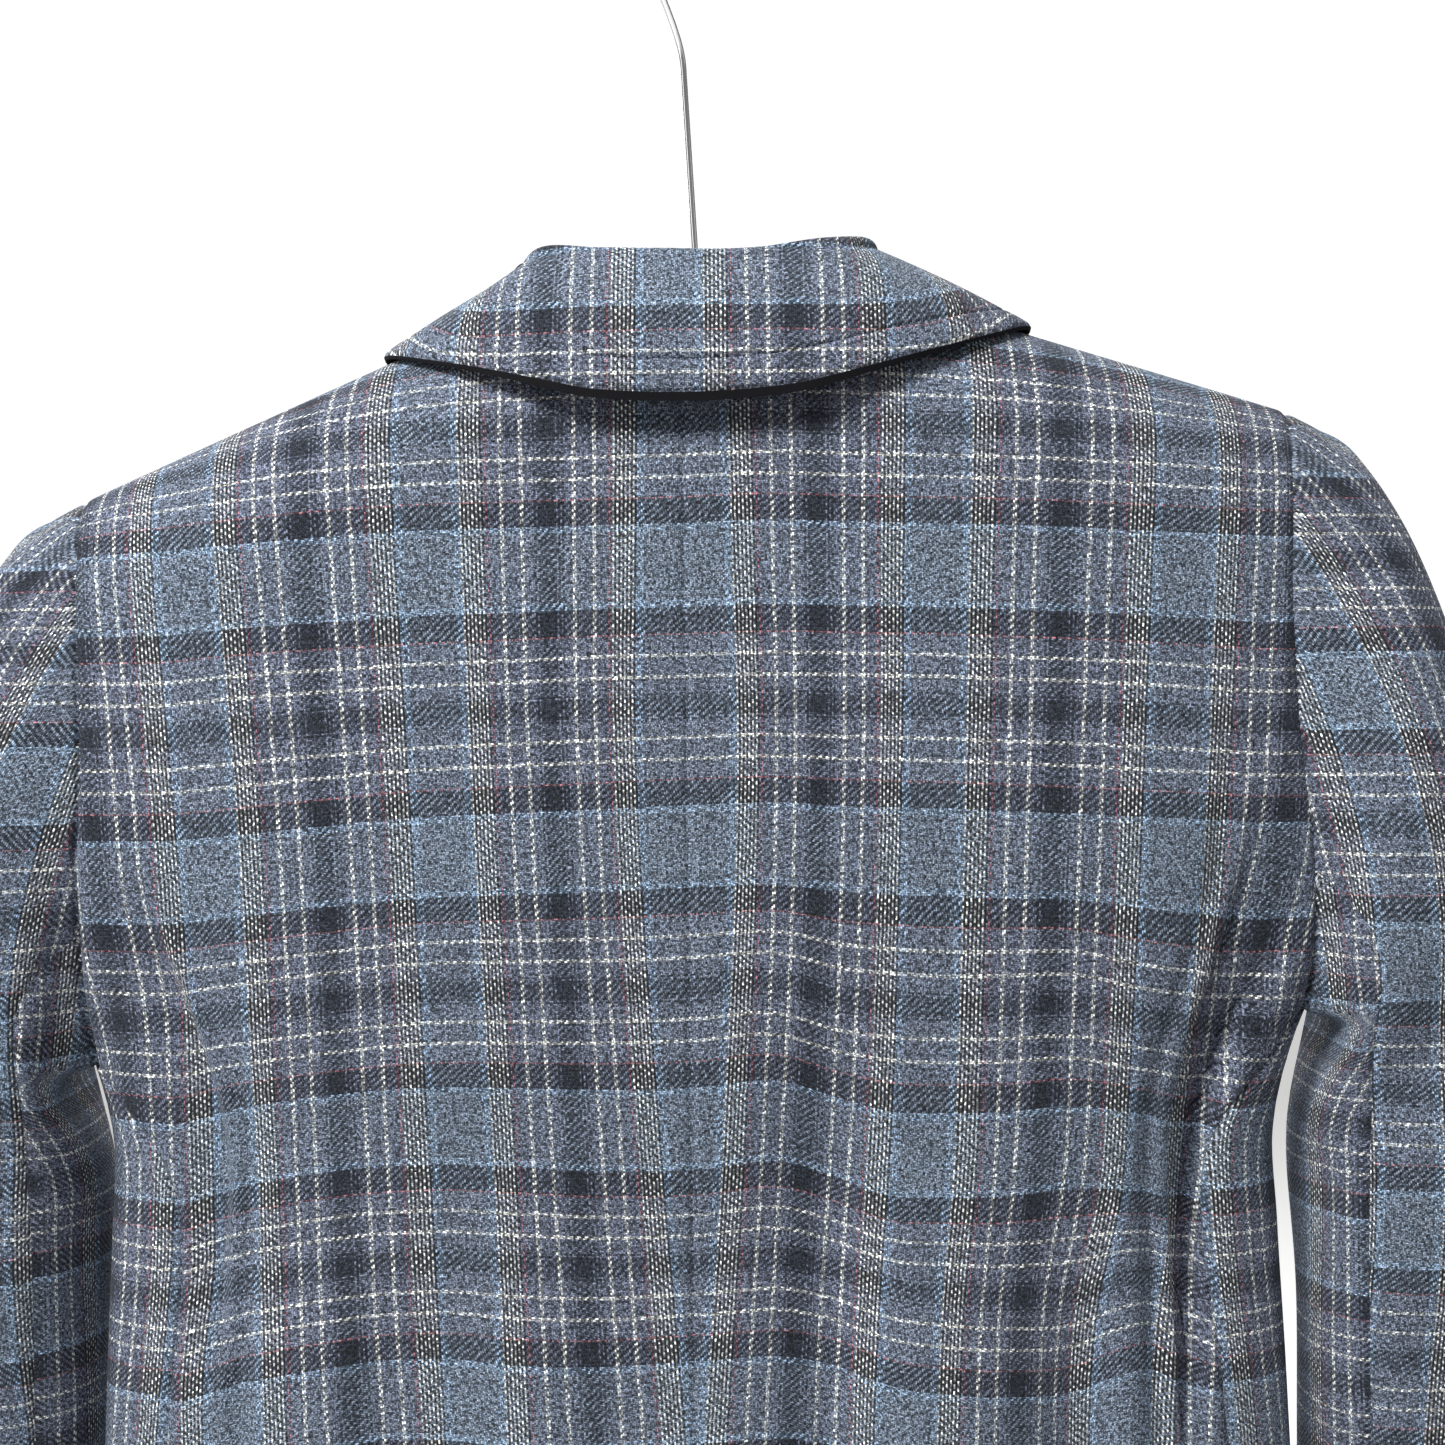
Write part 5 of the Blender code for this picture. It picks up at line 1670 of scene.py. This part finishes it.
def build_collar():
    """The collar: its stand and its fall are one folded wall right round the neck."""
    left, left_foot, fold_top, ways = collar_sections(LEFT)
    right, right_foot, _, _ = collar_sections(RIGHT)
    upper = np.concatenate([right[:, :0:-1], left], axis=1)
    along = np.concatenate([ways[:0:-1], ways])
    normals = unit(np.cross(directions(upper, 1), directions(upper, 0)))
    under = upper - normals * CLOTH
    under[0] = np.concatenate([right_foot[:0:-1], left_foot])
    # The felt's lip below the collar's edge paints the shadow under it
    shade_lip = SHADE_LIP * (1 - smooth_step(*SHADE_LIP_ENDS, along)) + SHADE_LIP * SHADE_LIP_REST
    under[-1] += unit(upper[-1] - upper[-2]) * shade_lip[:, None]
    from_edge = arc_along(upper[::-1], 0)[::-1]
    strength = 1 - smooth_step(*CREASE_ENDS, along)
    groove = -CREASE_DEEP * np.exp(-((from_edge - CREASE_BACK) / CREASE_WIDE) ** 2)
    puff = CREASE_ROLL * np.clip(np.sin(math.pi * np.clip(from_edge / CREASE_BACK, 0, 1)), 0, 1)
    shaped = upper + normals * ((groove + puff) * strength)[..., None]
    outer = rolled(shaped, normals, (None, OPEN_EDGE, OPEN_EDGE, OPEN_EDGE))
    middle = len(ways) - 1
    arc = arc_along(upper, 1)
    arc = arc - arc[:, middle:middle + 1]
    down_way = arc_along(upper, 0)
    down_way = down_way - down_way[fold_top:fold_top + 1]
    chart = collar_map(upper, arc, down_way, along, fold_top)
    piece = wall_of_cloth("collar_cloth", outer, under, chart, ("cloth", "felt"), under=1)
    settle(piece, "collar", upper)


def sleeve_map(points):
    """The cloth's own map on a sleeve: the crosswise threads lie level all round it."""
    centre = points.shape[1] // 2
    climbing = points[::-1]
    heights = climbing[:, centre, 2]
    climbs = arc_along(climbing, 0)[:, centre]
    level = np.interp(points[..., 2], heights, climbs)
    level = level + np.minimum(points[..., 2] - heights[0], 0) + np.maximum(points[..., 2] - heights[-1], 0)
    slices = np.linspace(points[..., 2].min(), points[..., 2].max(), SLEEVE_SLICES)
    rings = np.empty((SLEEVE_SLICES, points.shape[1], 2))
    for column in range(points.shape[1]):
        climb = np.maximum.accumulate(climbing[:, column, 2])
        for axis in (0, 1):
            rings[:, column, axis] = np.interp(slices, climb, climbing[:, column, axis])
    ways = arc_along(rings, 1)
    ways = ways - ways[:, centre:centre + 1]
    across = np.empty(points.shape[:2])
    for column in range(points.shape[1]):
        across[:, column] = np.interp(points[:, column, 2], slices, ways[:, column])
    return np.stack([-across, level - SLEEVE_BOX], axis=-1)


def build_sleeve(side):
    """A two-piece sleeve: the upper one over the arm, the under one beside the body."""
    rings, start_inner = sleeve_rings(side, ARMHOLE_CELLS)
    last = len(rings) - 1
    stations = shares(SLEEVE_CELLS, 0.60) * last
    grid = np.array([between(rings, at) for at in stations])
    count = grid.shape[1]
    parts = np.arange(count) / count
    normal = ring_normals(grid, side)
    grid = grid + normal * sleeve_relief(stations, parts)[..., None]
    normal = ring_normals(grid, side)
    inner = grid - normal * CLOTH
    inner[0] = start_inner
    half = round(20 * UNDER_SLEEVE_SHARE / 2) * count // 20
    middle = count // 2
    first, final = middle - half, middle + half
    under = list(range(first, final + 1))
    upper = [c % count for c in range(final, first + count + 1)]
    for label, columns in (("upper_sleeve_", upper), ("under_sleeve_", under)):
        points = grid[:, columns].copy()
        inner_part = inner[:, columns].copy()
        for part in (points, inner_part):
            first_way = unit(part[:, 1] - part[:, 0])
            final_way = unit(part[:, -2] - part[:, -1])
            part[:, 0] += first_way * SEAM / 2
            part[:, -1] += final_way * SEAM / 2
        outer = rolled(points, normal[:, columns], (SEAM_DIP, OPEN_EDGE, SEAM_DIP, SEAM_DIP))
        name = label + SIDE_NAMES[side]
        chart = sleeve_map(points)
        piece = wall_of_cloth(name + "_cloth", outer, inner_part, chart)
        settle(piece, name, points)


def plain_mesh(name, points, faces, finish):
    """A closed piece from its points and faces, in its place."""
    mesh = bpy.data.meshes.new(name)
    mesh.from_pydata([tuple(p) for p in points], [], faces)
    mesh.materials.append(finish)
    mesh.shade_smooth()
    mesh.set_sharp_from_angle(angle=math.radians(50))
    mesh.update()
    piece = bpy.data.objects.new(name, mesh)
    bpy.context.scene.collection.objects.link(piece)
    return piece


def button_seat(drop):
    """The place of a button on the outer front."""
    down = np.array(down_of(drop - ridge_drop(0.0, RIGHT)))
    return body_point(np.array(2.0), down, RIGHT)


def build_button(number, drop):
    """A round button with a raised rim and four sewing holes."""
    seat = button_seat(drop)
    spokes = BUTTON_SPOKES
    radii = np.linspace(0, 1, BUTTON_RINGS + 1)[1:]
    heights = np.interp(radii, *zip(*BUTTON_PROFILE)) * BUTTON_THICK
    points = [(0.0, 0.0, BUTTON_MIDDLE * BUTTON_THICK)]
    for radius, height in zip(radii, heights):
        for k in range(spokes):
            angle = 2 * math.pi * k / spokes
            x, y = radius * BUTTON_RADIUS * math.cos(angle), radius * BUTTON_RADIUS * math.sin(angle)
            low = 0.0
            for hx, hy in ((1, 1), (1, -1), (-1, 1), (-1, -1)):
                away = math.hypot(x - hx * HOLE_OUT, y - hy * HOLE_OUT) / HOLE_RADIUS
                low = max(low, float(1 - smooth_step(0.75, 1.15, away)))
            points.append((x, y, height - HOLE_DEEP * low))
    for radius, height in BUTTON_UNDERSIDE:
        for k in range(spokes):
            angle = 2 * math.pi * k / spokes
            reach = radius * BUTTON_RADIUS
            points.append((reach * math.cos(angle), reach * math.sin(angle), height * BUTTON_THICK))
    points.append((0.0, 0.0, 0.0))
    faces = [(0, 1 + k, 1 + (k + 1) % spokes) for k in range(spokes)]
    count = BUTTON_RINGS + len(BUTTON_UNDERSIDE)
    for r in range(count - 1):
        for k in range(spokes):
            a, b = 1 + r * spokes + k, 1 + r * spokes + (k + 1) % spokes
            faces.append((a, a + spokes, b + spokes, b))
    base = 1 + (count - 1) * spokes
    faces += [(base + k, len(points) - 1, base + (k + 1) % spokes) for k in range(spokes)]
    moved = Matrix.Translation(Vector(seat) + Vector((0, -BUTTON_SEAT, 0)))
    place = moved @ Matrix.Rotation(math.radians(90), 4, "X")
    placed = [place @ Vector(p) for p in points]
    piece = plain_mesh("button_%d_horn" % number, placed, faces, horn_finish())
    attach(piece, "root")
    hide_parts("button_%d" % number)
    threads = []
    thread_foot = BUTTON_MIDDLE * BUTTON_THICK - THREAD_SUNK
    for index, (start, end) in enumerate((((1, 1), (-1, -1)), ((1, -1), (-1, 1)))):
        for shift in (-THREAD_APART, THREAD_APART):
            path = []
            for j in range(THREAD_STEPS + 1):
                t = j / THREAD_STEPS
                x = HOLE_OUT * (start[0] + (end[0] - start[0]) * t) + shift * (1 if index else -1)
                y = HOLE_OUT * (start[1] + (end[1] - start[1]) * t) + shift
                rise = math.sin(math.pi * min(t, 1 - t)) ** 0.5
                height = thread_foot + (THREAD_RISE + THREAD_LAYER * index) * rise
                path.append(place @ Vector((x, y, height)))
            threads.append(path)
    tube = tubes("button_%d_thread" % number, threads, THREAD_RADIUS, thread_finish())
    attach(tube, "root")


def tubes(name, paths, radius, finish, sides=8):
    """Round threads or wires along paths, closed at their ends."""
    points, faces = [], []
    for path in paths:
        places = np.array([tuple(p) for p in path])
        ways = directions(places)
        across = unit(np.cross(ways[0], (0.123, 0.456, 0.881)))
        base = len(points)
        for place, way in zip(places, ways):
            across = unit(across - way * np.dot(across, way))
            other = np.cross(way, across)
            for k in range(sides):
                angle = 2 * math.pi * k / sides
                points.append(place + radius * (across * math.cos(angle) + other * math.sin(angle)))
        for r in range(len(places) - 1):
            for k in range(sides):
                a, b = base + r * sides + k, base + r * sides + (k + 1) % sides
                faces.append((a, b, b + sides, a + sides))
        faces.append(tuple(base + k for k in range(sides))[::-1])
        faces.append(tuple(base + (len(places) - 1) * sides + k for k in range(sides)))
    return plain_mesh(name, points, faces, finish)


def stitch_tree():
    """The nodes that lay a stitch across a path at every step of the way."""
    tree = bpy.data.node_groups.new("buttonhole stitches", "GeometryNodeTree")
    for name, kind, way in (
        ("Path", "NodeSocketGeometry", "INPUT"),
        ("Stitch length", "NodeSocketFloat", "INPUT"),
        ("Stitch spacing", "NodeSocketFloat", "INPUT"),
        ("Thread width", "NodeSocketFloat", "INPUT"),
        ("Facing", "NodeSocketVector", "INPUT"),
        ("Seed", "NodeSocketInt", "INPUT"),
        ("Thread", "NodeSocketMaterial", "INPUT"),
        ("Stitches", "NodeSocketGeometry", "OUTPUT"),
    ):
        tree.interface.new_socket(name=name, in_out=way, socket_type=kind)

    def add(kind, settings=None, sockets=None):
        node = tree.nodes.new(kind)
        for name, value in (settings or {}).items():
            setattr(node, name, value)
        for name, value in (sockets or {}).items():
            if isinstance(value, bpy.types.NodeSocket):
                tree.links.new(value, node.inputs[name])
            else:
                node.inputs[name].default_value = value
        return node

    given = add("NodeGroupInput").outputs
    spaced = add(
        "GeometryNodeResampleCurve",
        {"mode": "LENGTH"},
        {"Curve": given["Path"], "Length": given["Stitch spacing"]},
    )
    along = add("GeometryNodeInputTangent").outputs["Tangent"]
    sideways = add("ShaderNodeVectorMath", {"operation": "CROSS_PRODUCT"}, {0: along, 1: given["Facing"]})
    turned = add("FunctionNodeAlignRotationToVector", {"axis": "X"}, {"Vector": sideways.outputs["Vector"]})
    uneven = add(
        "FunctionNodeRandomValue",
        {"data_type": "FLOAT"},
        {2: 0.88, 3: 1.08, "Seed": given["Seed"]},
    )
    long = add("ShaderNodeMath", {"operation": "MULTIPLY"}, {0: given["Stitch length"], 1: uneven.outputs[1]})
    size = add(
        "ShaderNodeCombineXYZ",
        None,
        {"X": long.outputs[0], "Y": given["Thread width"], "Z": given["Thread width"]},
    )
    bead = add("GeometryNodeMeshUVSphere", None, {"Segments": 8, "Rings": 6, "Radius": 0.5})
    laid = add(
        "GeometryNodeInstanceOnPoints",
        None,
        {
            "Points": spaced.outputs["Curve"],
            "Instance": bead.outputs["Mesh"],
            "Rotation": turned.outputs["Rotation"],
            "Scale": size.outputs["Vector"],
        },
    )
    real = add("GeometryNodeRealizeInstances", None, {"Geometry": laid.outputs["Instances"]})
    coloured = add(
        "GeometryNodeSetMaterial",
        None,
        {"Geometry": real.outputs["Geometry"], "Material": given["Thread"]},
    )
    add("NodeGroupOutput", None, {"Stitches": coloured.outputs["Geometry"]})
    return tree


def stitched(name, path, facing, seed, tree):
    """A piece made of the stitches along one closed path."""
    sizes = bpy.context.scene.blazer_stitches
    curve = bpy.data.curves.new(name + "_path", "CURVE")
    curve.dimensions = "3D"
    spline = curve.splines.new("POLY")
    spline.points.add(len(path) - 1)
    for point, place in zip(spline.points, path):
        point.co = (*place, 1.0)
    spline.use_cyclic_u = True
    guide = bpy.data.objects.new(name + "_path", curve)
    bpy.context.scene.collection.objects.link(guide)
    modifier = guide.modifiers.new("Stitches", "NODES")
    modifier.node_group = tree
    values = {
        "Stitch length": sizes.stitch_length,
        "Stitch spacing": sizes.stitch_pitch,
        "Thread width": sizes.thread_width,
        "Facing": facing,
        "Seed": seed,
        "Thread": thread_finish(),
    }
    for item in tree.interface.items_tree:
        if item.name in values:
            modifier[item.identifier] = values[item.name]
    bpy.context.view_layer.update()
    seen = guide.evaluated_get(bpy.context.evaluated_depsgraph_get())
    mesh = bpy.data.meshes.new_from_object(seen)
    bpy.data.objects.remove(guide, do_unlink=True)
    mesh.name = name
    mesh.shade_smooth()
    piece = bpy.data.objects.new(name, mesh)
    bpy.context.scene.collection.objects.link(piece)
    return piece


def buttonhole_path(drop, length):
    """The closed path round a buttonhole, which runs level from the button's place."""
    places = []
    low_down = float(down_of(drop - ridge_drop(0.0, RIGHT)))
    half = BUTTONHOLE_HALF
    inner, outer = BUTTONHOLE_INNER, BUTTONHOLE_INNER - length
    outline = [(inner + (outer - inner) * t, half) for t in np.linspace(0, 1, 24)]
    outline += [
        (outer - half * math.sin(a), half * math.cos(a)) for a in np.linspace(0, math.pi, 8)[1:-1]
    ]
    outline += [(outer + (inner - outer) * t, -half) for t in np.linspace(0, 1, 24)]
    outline += [
        (inner + half * math.sin(a), -half * math.cos(a)) for a in np.linspace(0, math.pi, 8)[1:-1]
    ]
    for across, up in outline:
        turn = 2 - float(turn_at(abs(across), FRONT_HALF_WIDTH)) * (1 if across <= 0 else -1)
        down = np.array(low_down - up)
        point = body_point(np.array(turn), down, RIGHT)
        normal = body_normal(np.array(turn), down, RIGHT)
        places.append(tuple(point + normal * STITCH_LIFT))
    return places


def smooth_path(points, steps):
    """A smooth path through points, with so many steps from each one to the next."""
    points = np.array([tuple(p) for p in points])
    places = np.arange((len(points) - 1) * steps) / steps
    return [between(points, at) for at in places] + [points[-1]]


class BLAZER_OT_backs(bpy.types.Operator):
    """Build the two halves of the back"""

    bl_idname = "blazer.build_backs"
    bl_label = "Build the Back"

    def execute(self, context):
        for side in (LEFT, RIGHT):
            build_back(side)
        return {"FINISHED"}


class BLAZER_OT_fronts(bpy.types.Operator):
    """Build the two fronts"""

    bl_idname = "blazer.build_fronts"
    bl_label = "Build the Fronts"

    def execute(self, context):
        for side in (LEFT, RIGHT):
            build_front(side)
        return {"FINISHED"}


class BLAZER_OT_lapels(bpy.types.Operator):
    """Build the two lapels on the fronts"""

    bl_idname = "blazer.build_lapels"
    bl_label = "Build the Lapels"

    def execute(self, context):
        for side in (LEFT, RIGHT):
            build_lapel(side)
        return {"FINISHED"}


class BLAZER_OT_collar(bpy.types.Operator):
    """Build the collar with its pressed crease"""

    bl_idname = "blazer.build_collar"
    bl_label = "Build the Collar"

    def execute(self, context):
        build_collar()
        return {"FINISHED"}


class BLAZER_OT_sleeves(bpy.types.Operator):
    """Build the two-piece sleeves"""

    bl_idname = "blazer.build_sleeves"
    bl_label = "Build the Sleeves"

    def execute(self, context):
        for side in (LEFT, RIGHT):
            build_sleeve(side)
        return {"FINISHED"}


class BLAZER_OT_buttons(bpy.types.Operator):
    """Build the buttons with their sewing threads"""

    bl_idname = "blazer.build_buttons"
    bl_label = "Build the Buttons"

    def execute(self, context):
        for number, drop in enumerate(BUTTON_DROPS, start=1):
            build_button(number, drop)
        return {"FINISHED"}


class BLAZER_OT_buttonholes(bpy.types.Operator):
    """Sew the buttonholes round the buttons"""

    bl_idname = "blazer.sew_buttonholes"
    bl_label = "Sew the Buttonholes"

    def execute(self, context):
        tree = stitch_tree()
        length = context.scene.blazer_stitches.hole_length
        for number, drop in enumerate(BUTTON_DROPS, start=1):
            path = buttonhole_path(drop, length)
            piece = stitched("buttonhole_%d" % number, path, (0.0, -1.0, 0.0), number, tree)
            if not piece.data.polygons:
                raise RuntimeError("the buttonhole has no stitches")
            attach(piece, "root")
        return {"FINISHED"}


class BLAZER_OT_hanger(bpy.types.Operator):
    """Finish the hanger's bar and bend its wire hook"""

    bl_idname = "blazer.finish_hanger"
    bl_label = "Finish the Hanger"

    def execute(self, context):
        bar = bpy.data.objects["hanger_arms"]
        for slot in bar.material_slots:
            slot.material = bar_finish()
        path = smooth_path(hook_points(), WIRE_STEPS)
        piece = tubes("hook_wire", [path], WIRE_RADIUS, wire_finish(), sides=WIRE_SIDES)
        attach(piece, "root")
        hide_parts("hanger_hook")
        return {"FINISHED"}


class BLAZER_OT_stage(bpy.types.Operator):
    """Set the floor, the light and the camera"""

    bl_idname = "blazer.set_stage"
    bl_label = "Set the Stage"

    def execute(self, context):
        settings = context.scene.blazer_stage
        place_floor(settings)
        place_lights(settings)
        place_camera(context.scene)
        return {"FINISHED"}


def place_floor(settings):
    """A plain pale floor well below the blazer."""
    half, cells = 6.0, 12
    ticks = np.linspace(-half, half, cells + 1)
    points = [(x, y, settings.floor_height) for y in ticks for x in ticks]
    faces = []
    for r in range(cells):
        for c in range(cells):
            a = r * (cells + 1) + c
            faces.append((a, a + 1, a + cells + 2, a + cells + 1))
    floor = plain_mesh("floor", points, faces, floor_finish())
    floor.visible_diffuse = False


def add_light(name, power, size, place, target):
    """A large soft light that looks at a place."""
    light = bpy.data.lights.new(name, "AREA")
    light.energy = power
    light.shape = "RECTANGLE"
    light.size, light.size_y = size
    lamp = bpy.data.objects.new(name, light)
    lamp.location = place
    lamp.rotation_euler = (Vector(target) - Vector(place)).to_track_quat("-Z", "Y").to_euler()
    bpy.context.scene.collection.objects.link(lamp)


def place_lights(settings):
    """Soft studio light from all round, stronger from above and in front of the back."""
    for lamp in LAMPS:
        power = getattr(settings, lamp.setting) * lamp.share
        add_light(lamp.name, power, lamp.size, lamp.place, LAMP_AIM)
    world = bpy.data.worlds.new("studio")
    bpy.context.scene.world = world
    world.use_nodes = True
    tree = world.node_tree
    tree.nodes.clear()
    even = tree.nodes.new("ShaderNodeBackground")
    even.inputs["Color"].default_value = (1.0, 1.0, 1.0, 1.0)
    even.inputs["Strength"].default_value = settings.surround
    white = tree.nodes.new("ShaderNodeBackground")
    white.inputs["Color"].default_value = (1.0, 1.0, 1.0, 1.0)
    white.inputs["Strength"].default_value = BACKDROP_STRENGTH
    seen = tree.nodes.new("ShaderNodeLightPath")
    mixed = tree.nodes.new("ShaderNodeMixShader")
    tree.links.new(seen.outputs["Is Camera Ray"], mixed.inputs[0])
    tree.links.new(even.outputs[0], mixed.inputs[1])
    tree.links.new(white.outputs[0], mixed.inputs[2])
    out = tree.nodes.new("ShaderNodeOutputWorld")
    tree.links.new(mixed.outputs[0], out.inputs["Surface"])


def place_camera(scene):
    """The camera close behind the back, as in the picture."""
    data = bpy.data.cameras.new("picture_camera")
    data.lens = CAMERA_LENS
    data.sensor_width = 36.0
    data.clip_start = 0.05
    camera = bpy.data.objects.new("picture_camera", data)
    camera.matrix_world = (
        Matrix.Translation(CAMERA_PLACE)
        @ Matrix.Rotation(math.pi, 4, "Z")
        @ Matrix.Rotation(math.pi / 2, 4, "X")
        @ Matrix.Rotation(-CAMERA_ROLL, 4, "Z")
    )
    scene.collection.objects.link(camera)
    scene.camera = camera
    scene.view_settings.view_transform = "Standard"


class BLAZER_PT_panel(bpy.types.Panel):
    """The steps of the work, in order"""

    bl_idname = "BLAZER_PT_panel"
    bl_label = "Checked Blazer"
    bl_space_type = "VIEW_3D"
    bl_region_type = "UI"
    bl_category = "Blazer"

    def draw(self, context):
        for step in STEPS:
            self.layout.operator(step.bl_idname)
        for name in SETTINGS:
            group = getattr(context.scene, name)
            box = self.layout.box()
            for prop in group.bl_rna.properties:
                if prop.identifier not in ("rna_type", "name"):
                    box.prop(group, prop.identifier)


SETTINGS = {
    "blazer_cloth": BlazerClothSettings,
    "blazer_stitches": BlazerStitchSettings,
    "blazer_hanger": BlazerHangerSettings,
    "blazer_stage": BlazerStageSettings,
}
STEPS = (
    BLAZER_OT_backs,
    BLAZER_OT_fronts,
    BLAZER_OT_lapels,
    BLAZER_OT_collar,
    BLAZER_OT_sleeves,
    BLAZER_OT_buttons,
    BLAZER_OT_buttonholes,
    BLAZER_OT_hanger,
    BLAZER_OT_stage,
)


def register():
    """Make the settings, the steps and the panel known."""
    for each in (*SETTINGS.values(), *STEPS, BLAZER_PT_panel):
        bpy.utils.register_class(each)
    for name, kind in SETTINGS.items():
        setattr(bpy.types.Scene, name, bpy.props.PointerProperty(type=kind))


def unregister():
    """Take them away again."""
    for name in SETTINGS:
        delattr(bpy.types.Scene, name)
    for each in reversed((*SETTINGS.values(), *STEPS, BLAZER_PT_panel)):
        bpy.utils.unregister_class(each)


def main():
    """Run every step in order."""
    register()
    bpy.ops.blazer.build_backs()
    bpy.ops.blazer.build_fronts()
    bpy.ops.blazer.build_lapels()
    bpy.ops.blazer.build_collar()
    bpy.ops.blazer.build_sleeves()
    bpy.ops.blazer.build_buttons()
    bpy.ops.blazer.sew_buttonholes()
    bpy.ops.blazer.finish_hanger()
    bpy.ops.blazer.set_stage()


if __name__ == "__main__":
    main()
